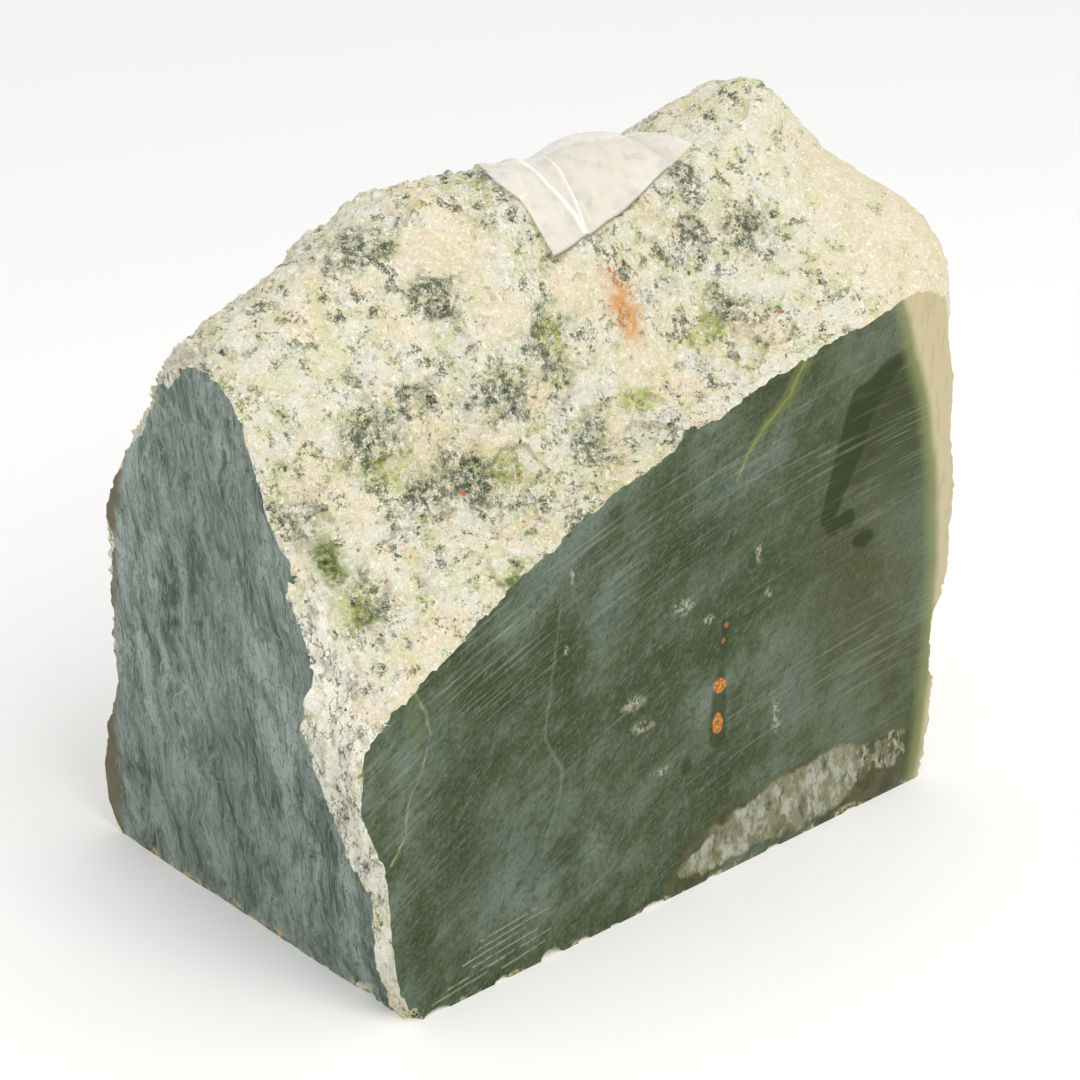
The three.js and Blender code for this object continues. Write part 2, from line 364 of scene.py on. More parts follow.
@dataclass
class Boulder:
    """The stone's fine surface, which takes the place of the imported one."""

    packed: PackedStone
    effects: "Effects"
    ball_cuts: int = 7
    chips: tuple[Chips, ...] = (Chips(16, 1.0, 1.5, 1), Chips(6.5, 0.6, 1.6, 2), Chips(2.6, 0.42, 1.6, 3))
    flaky_within: float = 10 * MM
    calm_within: float = 7 * MM
    most_faces: int = 168_000
    grid_step: float = 1.6 * MM
    cutter_sides: Spot = (0.30, 0.26)
    cutter_depth: float = 0.1
    sharp_from: float = math.radians(50)
    on_face: float = 0.12 * MM
    # The parting's near edge, as distances back from the front cut's foot and up from the base, in mm.
    parting_edge: tuple[Spot, ...] = (
        (8, -5), (8, 8), (6, 20), (6, 29), (9, 37), (14, 45), (18, 54), (20, 62), (21, 77), (20, 86),
        (22, 95), (26, 106), (27, 114), (28, 128), (32, 140), (38, 150),
    )  # fmt: skip
    # Nicks along the front's foot: how far along it, then their reach along, back and up, in mm.
    nicks: tuple[tuple[float, float, float, float], ...] = (
        (0, 2.8, 2.8, 4.2), (7.4, 3.8, 1.5, 1.3), (28, 2.6, 1.3, 1.0), (44, 3.6, 3.6, 2.3), (54.5, 2.0, 1.3, 1.2),
        (65, 1.6, 0.9, 0.8), (78, 3.6, 1.4, 1.2), (99, 2.2, 1.0, 0.8), (121, 2.6, 1.1, 0.8), (150, 2.2, 1.0, 0.8),
    )  # fmt: skip

    def build(self) -> bpy.types.Object:
        """Makes the stone.

        Returns:
            The finished object, with its surfaces in their slots.
        """
        stone = self._ball()
        self._weather(stone)
        for cutter in (self._front_cutter(), self._base_cutter(), self._left_cutter(), self._nick_cutter()):
            apply_modifier(stone, "BOOLEAN", object=cutter, operation="DIFFERENCE", solver="MANIFOLD")
            remove(cutter)
        apply_modifier(stone, "TRIANGULATE")
        apply_modifier(stone, "DECIMATE", ratio=min(1, self.most_faces / len(stone.data.polygons)))
        self._record_depth(stone)
        pick(stone)
        bpy.ops.object.shade_smooth_by_angle(angle=self.sharp_from)
        self._sharpen(stone, self._sort_surfaces(stone))
        return stone

    def _ball(self) -> bpy.types.Object:
        """A ball drawn out to the smooth skin and subdivided, ready to be weathered."""
        deselect_all()
        bpy.ops.mesh.primitive_ico_sphere_add(subdivisions=self.ball_cuts, radius=1)
        stone = bpy.context.object
        stone.name = "jade_boulder"
        directions = points_of(stone.data)
        directions /= np.linalg.norm(directions, axis=1)[:, None]
        reach = self.packed.reach(directions)
        put_points(stone.data, self.packed.heart + directions * reach[:, None])
        bpy.ops.object.mode_set(mode="EDIT")
        bpy.ops.mesh.select_all(action="SELECT")
        bpy.ops.mesh.subdivide(number_cuts=1, smoothness=0.6)
        bpy.ops.object.mode_set(mode="OBJECT")
        return stone

    def _weather(self, stone: bpy.types.Object) -> None:
        """Breaks the skin into flat chips of several sizes, then gives it a sugary grain."""
        mesh = stone.data
        normals = np.empty(len(mesh.vertices) * 3)
        mesh.vertex_normals.foreach_get("vector", normals)
        points = points_of(mesh)
        rough = self._roughness(points)
        stretched = self._along_grain(points)
        relief = np.zeros(len(points))
        for chip in self.chips:
            relief += self._facets(stretched / MM, chip) * chip.height * MM
        put_points(mesh, points + normals.reshape(-1, 3) * (relief * rough)[:, None])
        group = stone.vertex_groups.new(name="rough")
        steps = np.round(rough * 20).astype(int)
        for step in np.unique(steps):
            group.add(np.flatnonzero(steps == step).tolist(), step / 20, "REPLACE")
        roughen(stone, "sugar", "CLOUDS", 1.5 * MM, 0.7 * MM, noise_depth=1, vertex_group="rough")

    def _roughness(self, points: np.ndarray) -> np.ndarray:
        """How rough the skin is at each point: the right shoulder and the edge of the front cut are smoother."""
        x, _, z = ((points - self.packed.corner) / MM).T
        worn = np.clip((x - 150) / 34, 0, 1) * np.clip((z - 90) / 40, 0, 1)
        by_cut = np.clip(1 + self.packed.front.height(points) / self.calm_within, 0, 1)
        return (1 - 0.62 * worn) * (1 - 0.4 * by_cut)

    def _along_grain(self, points: np.ndarray) -> np.ndarray:
        """The points, squeezed upright near the left parting so that the chips there are long flakes."""
        near = np.clip(1 + self.packed.left.height(points) / self.flaky_within, 0, 1)
        squeezed = points.copy()
        squeezed[:, 2] *= 1 - 0.5 * near
        return squeezed

    @staticmethod
    def _facets(points: np.ndarray, chip: "Chips") -> np.ndarray:
        """The height of a surface broken into flat facets, each of them tilted its own way.

        Args:
            points: Points in mm.
            chip: The facets' size and tilt.

        Returns:
            One height to a point, mostly between -1 and 1.
        """
        heights = np.empty(len(points))
        for index, point in enumerate(points / chip.size):
            place = Vector(point)
            seed = noise.voronoi(place)[1][0]
            tilt = noise.cell_vector(seed * 37.7 + Vector((chip.draw, 0, 0)))
            heights[index] = (tilt * 2 - Vector((1, 1, 1))).dot(place - seed) * chip.tilt + tilt.x - 0.5
        return heights

    def _grid_block(self, face: FlatFace, name: str) -> bpy.types.Object:
        """A block whose near side is a fine grid in a flat face's plane.

        Args:
            face: The flat face.
            name: The block's name.

        Returns:
            The block, with its grid looking into the stone.
        """
        across = np.cross(face.normal, (0, 0, 1)) if abs(face.normal[2]) < 0.9 else np.array([1.0, 0, 0])
        across /= np.linalg.norm(across)
        up = np.cross(face.normal, across)
        width, height = self.cutter_sides
        deselect_all()
        bpy.ops.mesh.primitive_grid_add(
            x_subdivisions=round(width / self.grid_step), y_subdivisions=round(height / self.grid_step), size=1
        )
        block = bpy.context.object
        block.name = name
        flat = points_of(block.data)
        middle = (self.packed.low + self.packed.high) / 2
        middle = middle - face.height(middle) * face.normal
        put_points(block.data, middle + np.outer(flat[:, 0] * width, across) + np.outer(flat[:, 1] * height, up))
        thicken(face.normal * self.cutter_depth)
        return block

    def _front_cutter(self) -> bpy.types.Object:
        """The block that takes off what the front cut took off."""
        return self._grid_block(self.packed.front, "front_cutter")

    def _base_cutter(self) -> bpy.types.Object:
        """The block that takes off what the base cut took off."""
        return self._grid_block(self.packed.base, "base_cutter")

    def _left_cutter(self) -> bpy.types.Object:
        """The block that parted from the left: a rippled plane, bounded by the ragged near edge."""
        block = self._grid_block(self.packed.left, "left_cutter")
        points = points_of(block.data)
        near = np.abs(self.packed.left.height(points)) < self.packed.same_plane
        points[near] += np.outer(self._ripple(points[near]), self.packed.left.normal)
        put_points(block.data, points)
        prism = self._parting_prism()
        apply_modifier(block, "BOOLEAN", object=prism, operation="INTERSECT", solver="MANIFOLD")
        remove(prism)
        return block

    def _ripple(self, points: np.ndarray) -> np.ndarray:
        """How far the parted face stands out of its plane: it ripples along the grain, which runs upright.

        Args:
            points: Points on the plane.

        Returns:
            One height to a point, in metres.
        """
        heights = np.empty(len(points))
        for index, (x, y, z) in enumerate(points / MM):
            broad = noise.noise(Vector((x / 20, (y + 0.08 * z) / 16, z / 45)))
            fine = noise.noise(Vector((x / 9, (y + 0.08 * z) / 4.5, z / 22)))
            heights[index] = (0.55 * broad + 0.3 * fine) * MM
        return heights

    def _parting_prism(self) -> bpy.types.Object:
        """A prism over the parted area, whose near edge follows parting_edge with ragged chips."""
        foot = self.packed.low[1] / MM
        edge = np.array(self.parting_edge, float)
        heights = np.arange(edge[0, 1], edge[-1, 1], 1.5)
        backs = np.interp(heights, edge[:, 1], edge[:, 0])
        ragged = [back + foot + 1.1 * noise.noise(Vector((z / 6, 3, 0))) for back, z in zip(backs, heights)]
        top, bottom, back = edge[-1, 1] + 60, edge[0, 1], 200.0
        outline = [*zip(ragged, heights), (ragged[-1], top), (back, top), (back, bottom)]
        left = self.packed.low[0] - 0.05
        mesh = bpy.data.meshes.new("parting_prism")
        mesh.from_pydata([(left, y * MM, z * MM) for y, z in outline], [], [range(len(outline))])
        prism = bpy.data.objects.new("parting_prism", mesh)
        bpy.context.scene.collection.objects.link(prism)
        pick(prism)
        thicken((self.cutter_depth, 0, 0))
        return prism

    def _nick_cutter(self) -> bpy.types.Object:
        """The small rough lumps that nick the foot of the front, as one object."""
        lumps = []
        for along, *reach in self.nicks:
            deselect_all()
            bpy.ops.mesh.primitive_ico_sphere_add(subdivisions=4, radius=1)
            lump = bpy.context.object
            put_points(lump.data, self.packed.place((along, 0, 0)) + points_of(lump.data) * np.array(reach) * MM)
            lumps.append(lump)
        pick(lumps[0])
        for lump in lumps:
            lump.select_set(True)
        bpy.ops.object.join()
        roughen(lumps[0], "nick_edges", "CLOUDS", 1.6 * MM, 1.2 * MM, noise_depth=2)
        return lumps[0]

    def _sort_surfaces(self, stone: bpy.types.Object) -> np.ndarray:
        """Puts each face in the slot of its kind of surface, and returns each face's kind."""
        middles, normals = faces_of(stone.data)
        kinds = np.full(len(middles), int(Surface.SKIN), np.int32)
        for surface, face in ((Surface.SAWN, self.packed.front), (Surface.BASE, self.packed.base)):
            kinds[(np.abs(face.height(middles)) < self.on_face) & (normals @ face.normal > 0.97)] = int(surface)
        left = self.packed.left
        back, _, up = np.roll(middles - self.packed.corner, -1, axis=1).T / MM
        edge = np.array(self.parting_edge, float)
        parted = back > np.interp(up, edge[:, 1], edge[:, 0]) - 1.5
        near = np.flatnonzero((np.abs(left.height(middles)) < 4 * MM) & (normals @ left.normal > 0.8) & parted)
        off = left.height(middles[near]) - self._ripple(middles[near])
        kinds[near[np.abs(off) < self.on_face]] = int(Surface.PARTED)
        stone.data.materials.clear()
        for finish in (SkinFinish(), SawnFinish(), PartedFinish(), BaseFinish()):
            stone.data.materials.append(finish.make(self.effects))
        stone.data.polygons.foreach_set("material_index", kinds)
        log.info("faces by surface: %s", {s.name: int((kinds == s).sum()) for s in Surface})
        return kinds

    def _sharpen(self, stone: bpy.types.Object, kinds: np.ndarray) -> None:
        """Leaves the sawn faces flat, and makes the edges between two kinds of surface sharp.

        Args:
            stone: The stone, in triangles.
            kinds: Each face's kind of surface.
        """
        mesh = stone.data
        mesh.polygons.foreach_set("use_smooth", (kinds != Surface.SAWN) & (kinds != Surface.BASE))
        edges = np.empty(len(mesh.loops), np.int32)
        mesh.loops.foreach_get("edge_index", edges)
        least, most = np.full(len(mesh.edges), len(Surface)), np.zeros(len(mesh.edges), int)
        np.minimum.at(least, edges, np.repeat(kinds, 3))
        np.maximum.at(most, edges, np.repeat(kinds, 3))
        sharp = np.empty(len(mesh.edges), bool)
        mesh.edges.foreach_get("use_edge_sharp", sharp)
        mesh.edges.foreach_set("use_edge_sharp", sharp | (least != most))

    def _record_depth(self, stone: bpy.types.Object) -> None:
        """Stores each vertex's depth under the smooth skin, in mm, for the finishes, which use it to paint shade into
        the hollows.
        """
        depth = self.packed.skin_depth(points_of(stone.data)) / MM
        store(stone.data, "skin_depth", depth)


# ---- Finishes: building shader nodes ----

Socket = bpy.types.NodeSocket


def paint(red: int, green: int, blue: int) -> tuple[float, float, float, float]:
    """A linear colour from one given in 0 to 255 as on a paint chart.

    Args:
        red: Red.
        green: Green.
        blue: Blue.

    Returns:
        Linear red, green, blue and full opacity.
    """

    def linear(share: float) -> float:
        """One channel, from the chart's curve to linear light."""
        return share / 12.92 if share <= 0.04045 else ((share + 0.055) / 1.055) ** 2.4

    return (linear(red / 255), linear(green / 255), linear(blue / 255), 1.0)


class Wiring:
    """Adds nodes to one node tree and joins them up."""

    def __init__(self, tree: bpy.types.NodeTree) -> None:
        """Works on the given tree."""
        self.tree = tree

    def node(self, kind: str, **settings: object) -> bpy.types.Node:
        """Adds a node and sets its properties."""
        node = self.tree.nodes.new(kind)
        for name, value in settings.items():
            setattr(node, name, value)
        return node

    def feed(self, socket: Socket, source: object) -> None:
        """Joins a socket's source to it, or sets its value."""
        if isinstance(source, Socket):
            self.tree.links.new(source, socket)
        else:
            socket.default_value = source

    def math(self, operation: str, *values: object, clamp: bool = False) -> Socket:
        """A Math node's result."""
        node = self.node("ShaderNodeMath", operation=operation, use_clamp=clamp)
        for socket, value in zip(node.inputs, values):
            self.feed(socket, value)
        return node.outputs[0]

    def times(self, one: object, other: object) -> Socket:
        """One number times another."""
        return self.math("MULTIPLY", one, other)

    def vector(self, operation: str, *values: object, output: str = "Vector") -> Socket:
        """A Vector Math node's result. A number goes to its Scale."""
        node = self.node("ShaderNodeVectorMath", operation=operation)
        slots = [node.inputs[0], node.inputs["Scale"]] if operation == "SCALE" else node.inputs
        for socket, value in zip(slots, values):
            self.feed(socket, value)
        return node.outputs[output]

    def step(self, value: object, low: object, high: object) -> Socket:
        """0 below low, 1 above high and a smooth step between. High may be less than low."""
        node = self.node("ShaderNodeMapRange", interpolation_type="SMOOTHSTEP")
        for name, source in (("Value", value), ("From Min", low), ("From Max", high)):
            self.feed(node.inputs[name], source)
        return node.outputs["Result"]

    def noise(self, place: Socket, size: float, detail: float = 3, roughness: float = 0.5, warp: float = 0) -> Socket:
        """A Noise Texture's value.

        Args:
            place: The place, in mm.
            size: The size of its lumps, in mm.
            detail: How many finer noises are laid over the first.
            roughness: How strong the finer ones are.
            warp: How far it is distorted.

        Returns:
            The value, about 0.5 on average.
        """
        node = self.node("ShaderNodeTexNoise")
        self.feed(node.inputs["Vector"], place)
        for name, value in (("Scale", 1 / size), ("Detail", detail), ("Roughness", roughness), ("Distortion", warp)):
            node.inputs[name].default_value = value
        return node.outputs["Fac"]

    def threads(self, place: Socket, size: float, width: float, detail: float = 2, warp: float = 0) -> Socket:
        """A mask of thin winding threads, which lie where a noise passes its middle value."""
        off = self.math("ABSOLUTE", self.math("SUBTRACT", self.noise(place, size, detail, 0.6, warp), 0.5))
        return self.step(off, width, width * 0.2)

    def shifted(self, place: Socket, x: float, y: float, z: float) -> Socket:
        """A place moved, so that a noise there has nothing to do with the same noise at the place."""
        return self.vector("ADD", place, (x, y, z))

    def slanted(self, place: Socket, degrees: float, stretch: float) -> Socket:
        """A place on the front in axes that are turned, so that a noise there runs in slanting streaks.

        Args:
            place: The place, in mm.
            degrees: How steeply the streaks climb to the right.
            stretch: How many times longer than wide they are.

        Returns:
            The place in the turned axes.
        """
        right, up = math.cos(math.radians(degrees)), math.sin(math.radians(degrees))
        joined = self.node("ShaderNodeCombineXYZ")
        along = self.vector("DOT_PRODUCT", place, (right / stretch, 0, up / stretch), output="Value")
        self.feed(joined.inputs["X"], along)
        self.feed(joined.inputs["Y"], self.vector("DOT_PRODUCT", place, (-up, 0, right), output="Value"))
        return joined.outputs[0]

    def mix(self, share: object, under: Socket | Colour, over: Socket | Colour) -> Socket:
        """One colour laid over another by a share of 0 to 1."""
        node = self.node("ShaderNodeMix", data_type="RGBA")
        self.feed(node.inputs[0], share)
        for socket, colour in ((node.inputs[6], under), (node.inputs[7], over)):
            self.feed(socket, colour if isinstance(colour, Socket) else paint(*colour))
        return node.outputs[2]

    def lay(self, mask: Socket, strength: object, under: Socket | Colour, over: Socket | Colour) -> Socket:
        """One colour laid over another where a mask is, at a strength of 0 to 1."""
        return self.mix(self.times(mask, strength), under, over)

    def lerp(self, share: object, low: object, high: object) -> Socket:
        """A number between two, by a share of 0 to 1."""
        node = self.node("ShaderNodeMix", data_type="FLOAT")
        for socket, value in zip(node.inputs[:1] + node.inputs[2:4], (share, low, high)):
            self.feed(socket, value)
        return node.outputs[0]

    def most(self, *values: Socket) -> Socket:
        """The highest of several masks."""
        top = values[0]
        for value in values[1:]:
            top = self.math("MAXIMUM", top, value)
        return top

    def millimetres(self) -> Socket:
        """The place on the object, in mm."""
        place = self.node("ShaderNodeTexCoord").outputs["Object"]
        return self.vector("SCALE", place, 1 / MM)

    def ragged(self, place: Socket, size: float, amount: float) -> Socket:
        """A place moved about by noise, so that what is drawn with it has a ragged outline.

        Args:
            place: The place, in mm.
            size: The size of the raggedness, in mm.
            amount: How far it moves, in mm.

        Returns:
            The moved place.
        """
        node = self.node("ShaderNodeTexNoise")
        self.feed(node.inputs["Vector"], place)
        node.inputs["Scale"].default_value = 1 / size
        node.inputs["Detail"].default_value = 3
        shift = self.vector("SUBTRACT", node.outputs["Color"], (0.5, 0.5, 0.5))
        return self.vector("ADD", place, self.vector("SCALE", shift, 2 * amount))

    def use(self, group: bpy.types.NodeTree, **inputs: object) -> bpy.types.Node:
        """Places a shared effect, with its values by name. Underscores in names stand for spaces."""
        node = self.node("ShaderNodeGroup", node_tree=group)
        for name, source in inputs.items():
            self.feed(node.inputs[name.replace("_", " ")], source)
        return node


class Effect:
    """Starts a shared effect: a node group with named sockets."""

    def __init__(self, name: str, inputs: dict[str, str], outputs: dict[str, str]) -> None:
        """Makes the group and its sockets, whose kinds are Float, Vector or Color."""
        self.group = bpy.data.node_groups.new(name, "ShaderNodeTree")
        for side, sockets in (("INPUT", inputs), ("OUTPUT", outputs)):
            for socket, kind in sockets.items():
                self.group.interface.new_socket(socket, in_out=side, socket_type=f"NodeSocket{kind}")
        self.wiring = Wiring(self.group)
        self.entry = self.wiring.node("NodeGroupInput").outputs
        self.exit = self.wiring.node("NodeGroupOutput").inputs


def make_stroke() -> bpy.types.NodeTree:
    """A mask along a straight stroke, whose half width changes evenly from its start to its end."""
    inputs = {"Place": "Vector", "From": "Vector", "To": "Vector", "Start": "Float", "End": "Float", "Soft": "Float"}
    effect = Effect("stroke", inputs, {"Mask": "Float"})
    w, entry = effect.wiring, effect.entry
    along = w.vector("SUBTRACT", entry["To"], entry["From"])
    away = w.vector("SUBTRACT", entry["Place"], entry["From"])
    reached = w.vector("DOT_PRODUCT", away, along, output="Value")
    whole = w.vector("DOT_PRODUCT", along, along, output="Value")
    share = w.math("DIVIDE", reached, whole, clamp=True)
    off = w.vector("LENGTH", w.vector("SUBTRACT", away, w.vector("SCALE", along, share)), output="Value")
    width = w.lerp(share, entry["Start"], entry["End"])
    outer = w.math("ADD", width, entry["Soft"])
    inner = w.math("SUBTRACT", width, entry["Soft"])
    w.feed(effect.exit["Mask"], w.step(off, outer, inner))
    return effect.group


def make_spot() -> bpy.types.NodeTree:
    """A mask over an oval spot, whose softness is a share of its reach."""
    inputs = {"Place": "Vector", "Centre": "Vector", "Reach": "Vector", "Soft": "Float"}
    effect = Effect("spot", inputs, {"Mask": "Float"})
    w, entry = effect.wiring, effect.entry
    away = w.vector("SUBTRACT", entry["Place"], entry["Centre"])
    off = w.vector("LENGTH", w.vector("DIVIDE", away, entry["Reach"]), output="Value")
    outer = w.math("ADD", 1.0, entry["Soft"])
    inner = w.math("SUBTRACT", 1.0, entry["Soft"])
    w.feed(effect.exit["Mask"], w.step(off, outer, inner))
    return effect.group


def make_specks() -> bpy.types.NodeTree:
    """Sharp-edged mineral specks of a size, which crowd together as Crowding rises from 0 to 1."""
    inputs = {"Place": "Vector", "Size": "Float", "Crowding": "Float"}
    effect = Effect("specks", inputs, {"Mask": "Float", "Height": "Float"})
    w, entry = effect.wiring, effect.entry
    place = w.vector("SCALE", entry["Place"], w.math("DIVIDE", 1.0, entry["Size"]))
    grain = w.noise(place, 1.0, detail=3, roughness=0.7, warp=0.4)
    level = w.math("MULTIPLY_ADD", entry["Crowding"], -0.24, 0.66)
    w.feed(effect.exit["Mask"], w.step(grain, level, w.math("ADD", level, 0.1)))
    w.feed(effect.exit["Height"], grain)
    return effect.group


@dataclass(frozen=True)
class Effects:
    """The effects that more than one finish uses."""

    stroke: bpy.types.NodeTree
    spot: bpy.types.NodeTree
    specks: bpy.types.NodeTree

    @classmethod
    def make(cls) -> "Effects":
        """Builds each effect once."""
        return cls(make_stroke(), make_spot(), make_specks())


@dataclass
class Finish:
    """A material under way: its nodes, its shader and the shared effects."""

    name: str
    effects: Effects
    wiring: Wiring = field(init=False)
    material: bpy.types.Material = field(init=False)

    def __post_init__(self) -> None:
        """Makes the material with its shader."""
        self.material = bpy.data.materials.new(self.name)
        self.material.use_nodes = True
        self.wiring = Wiring(self.material.node_tree)
        self.shader = self.material.node_tree.nodes["Principled BSDF"]

    def stroke(self, place: Socket, points: tuple[Place, ...], widths: tuple[float, ...], soft: float) -> Socket:
        """A mask along joined strokes.

        Args:
            place: The place, in mm.
            points: The strokes' ends, in order.
            widths: The half width at each of the points.
            soft: How wide the soft edge is, each way.

        Returns:
            The mask.
        """
        w = self.wiring
        pairs = zip(points, points[1:], widths, widths[1:])
        masks = [
            w.use(self.effects.stroke, Place=place, From=a, To=b, Start=start, End=end, Soft=soft).outputs[0]
            for a, b, start, end in pairs
        ]
        return w.most(*masks)

    def spots(self, place: Socket, rows: tuple[Row, ...], soft: float = 0.5) -> Socket:
        """A mask over oval spots: each row is a spot's centre and then its reach, in mm."""
        w, spot = self.wiring, self.effects.spot
        return w.most(*(w.use(spot, Place=place, Centre=row[:3], Reach=row[3:], Soft=soft).outputs[0] for row in rows))

    def bump(self, height: Socket, depth: float, under: Socket | None = None) -> Socket:
        """A Bump node's normal.

        Args:
            height: A pattern of 0 to 1.
            depth: How deep the pattern is, in metres.
            under: The normal of a coarser bump, if any.

        Returns:
            The normal.
        """
        node = self.wiring.node("ShaderNodeBump")
        node.inputs["Distance"].default_value = depth
        self.wiring.feed(node.inputs["Height"], height)
        if under is not None:
            self.wiring.feed(node.inputs["Normal"], under)
        return node.outputs["Normal"]

    def join(self, colour: Socket, roughness: Socket, normal: Socket, specular: float) -> None:
        """Joins what a finish has made to its shader.

        Args:
            colour: The surface's colour.
            roughness: Its roughness.
            normal: Its relief.
            specular: How strongly it shines, where 0.5 is plain glass or plastic.
        """
        for name, source in (("Base Color", colour), ("Roughness", roughness), ("Normal", normal)):
            self.wiring.feed(self.shader.inputs[name], source)
        self.shader.inputs["Specular IOR Level"].default_value = specular


class SurfaceFinish:
    """A finish. Each kind has a name, its colours and a way to dress its material."""

    name: str

    def dress(self, finish: Finish) -> None:
        """Adds the kind's own nodes to its material."""
        raise NotImplementedError

    def make(self, effects: Effects) -> bpy.types.Material:
        """Makes the material.

        Args:
            effects: The shared effects.

        Returns:
            The material.
        """
        finish = Finish(self.name, effects)
        self.dress(finish)
        return finish.material


def face_spots(*rows: tuple[float, float, float, float]) -> tuple[Row, ...]:
    """Patches on the front: each row is a place across and up, then a reach across and up."""
    return tuple((x, 0, z, across, 100, up) for x, z, across, up in rows)


def face_line(*points: Spot) -> tuple[Place, ...]:
    """A line on the front, from places across and up."""
    return tuple((x, 0, z) for x, z in points)


# ---- Finishes: the stone's four surfaces ----


@dataclass(frozen=True)
class SkinFinish(SurfaceFinish):
    """The weathered skin: cream and sugary, with grey and green grains that crowd into clusters."""

    name: str = "weathered_skin"
    cream: Colour = (220, 213, 190)
    chalk: Colour = (216, 215, 201)
    white: Colour = (243, 241, 232)
    peach: Colour = (224, 206, 174)
    moss: Colour = (192, 194, 130)
    grey_grain: Colour = (142, 146, 122)
    green_grain: Colour = (104, 116, 58)
    dark_grain: Colour = (48, 62, 36)
    olive: Colour = (92, 108, 30)
    lime: Colour = (166, 174, 76)
    rust: Colour = (214, 150, 84)
    clusters: tuple[Row, ...] = (
        (-76, -32, 133, 9, 9, 8), (-62, -31, 139, 6, 6, 5), (-22, -31, 143, 8, 9, 9),
        (-17, -45, 120, 7, 9, 5), (-52, -38, 118, 12, 9, 8), (-39, -35, 135, 9, 9, 6),
        (31, -26, 155, 7, 9, 6), (37, -17, 167, 5, 9, 7), (48, -29, 154, 6, 9, 7),
        (33, -38, 139, 7, 9, 6), (-89, -48, 103, 4, 8, 7), (-65, -37, 119, 8, 9, 6),
        (-49, -24, 158, 8, 9, 5), (-62, -9, 169, 9, 9, 5), (-98, -40, 124, 5, 9, 9),
        (-99, -62, 35, 3, 5, 3),
    )  # fmt: skip
    smooth_places: tuple[Row, ...] = (
        (-42, -20, 166, 12, 14, 8), (-47, -36, 126, 9, 9, 6), (-34, -29, 151, 8, 9, 6),
        (-84, -40, 120, 6, 9, 4), (4, -40, 133, 9, 9, 5), (-8, -25, 152, 10, 12, 6),
    )  # fmt: skip
    lime_places: tuple[Row, ...] = (
        (-94, -46, 104, 5, 6, 3), (-23, -6, 177, 3, 6, 3), (27, -38, 137, 3, 6, 4),
        (21, -40, 134, 3, 6, 3), (-39, -41, 118, 3, 6, 3), (-95, -41, 112, 3, 6, 5),
        (-43, -39, 119, 3, 6, 4), (-95, -47, 102, 4, 6, 3), (-1, -42, 126, 4, 6, 2),
        (-5, -39, 127, 4, 6, 3), (-53, -57, 102, 6, 5, 2), (-22, -57, 113, 3, 5, 1.5),
        (-20, -33, 144, 4, 6, 4), (-71, -34, 126, 6, 6, 4),
    )  # fmt: skip

    def dress(self, finish: Finish) -> None:
        """Paints the skin from its pale ground up, and roughens it."""
        w = finish.wiring
        place = w.millimetres()
        loose = w.ragged(place, 5.0, 2.6)
        split = w.node("ShaderNodeSeparateXYZ")
        w.feed(split.inputs[0], place)
        across, up = split.outputs["X"], split.outputs["Z"]
        shoulder = w.times(w.step(across, 52.0, 84.0), w.step(up, 118.0, 138.0))
        shoulder = w.times(shoulder, w.step(split.outputs["Y"], 6.0, -26.0))
        smooth = w.math("MAXIMUM", finish.spots(loose, self.smooth_places), shoulder)
        named = finish.spots(w.ragged(loose, 8.0, 7.0), self.clusters, 0.7)
        crowding = self._crowding(w, place, named, smooth)
        fine = w.use(finish.effects.specks, Place=place, Size=0.8, Crowding=crowding).outputs
        coarse = w.use(finish.effects.specks, Place=w.shifted(place, 31, 7, 3), Size=2.1, Crowding=crowding).outputs
        grain = self._grain(w, place, crowding)
        colour = w.lay(fine["Mask"], 0.85, self._ground(w, place, crowding, smooth), grain)
        colour = w.lay(coarse["Mask"], 0.65, colour, grain)
        clouded = w.times(named, w.step(w.noise(w.shifted(place, 8, 8, 0), 3.4, detail=3), 0.38, 0.6))
        colour = w.lay(clouded, 0.6, colour, (120, 130, 90))
        broken = w.step(w.noise(w.shifted(place, 0, 5, 40), 2.6, detail=4, roughness=0.7), 0.47, 0.57)
        core = w.times(w.step(named, 0.35, 0.95), broken)
        colour = w.lay(core, 0.82, colour, self.dark_grain)
        colour = self._flaky_edge(w, place, split.outputs, colour)
        sugar = w.times(w.threads(place, 1.3, 0.03, detail=4, warp=0.3), 0.6)
        lumps = w.step(w.noise(w.shifted(place, 3, 60, 5), 1.3, detail=4, roughness=0.8), 0.54, 0.62)
        light = w.times(w.math("MAXIMUM", sugar, lumps), w.lerp(core, 0.8, 0.45))
        colour = self._stains(finish, place, loose, w.mix(light, colour, self.white))
        relief = finish.bump(w.noise(place, 2.0, detail=5, roughness=0.7), 0.0009)
        relief = finish.bump(fine["Height"], 0.0004, relief)
        finish.join(colour, w.lerp(fine["Mask"], 0.8, 0.55), relief, specular=0.25)

    def _crowding(self, w: Wiring, place: Socket, named: Socket, smooth: Socket) -> Socket:
        """How thickly the grey and green grains lie, from 0 to 1. They lie a little thicker where the skin is sunk,
        which is painted shade in the hollows.
        """
        broad = w.step(w.noise(place, 15.0, detail=3, roughness=0.6, warp=0.5), 0.46, 0.62)
        small = w.step(w.noise(w.shifted(place, 50, 0, 9), 4.2, detail=3, roughness=0.6), 0.5, 0.62)
        # Painted shade: the hollows under the smooth skin get more grains, so they read darker.
        sunk_shade = w.step(w.node("ShaderNodeAttribute", attribute_name="skin_depth").outputs["Fac"], 0.2, 1.8)
        total = w.math("ADD", w.times(broad, 0.32), w.times(small, 0.55))
        total = w.math("ADD", total, w.times(sunk_shade, 0.15))
        total = w.math("MULTIPLY_ADD", named, 0.3, total)
        return w.math("SUBTRACT", w.math("ADD", total, 0.16), w.times(smooth, 0.46), clamp=True)

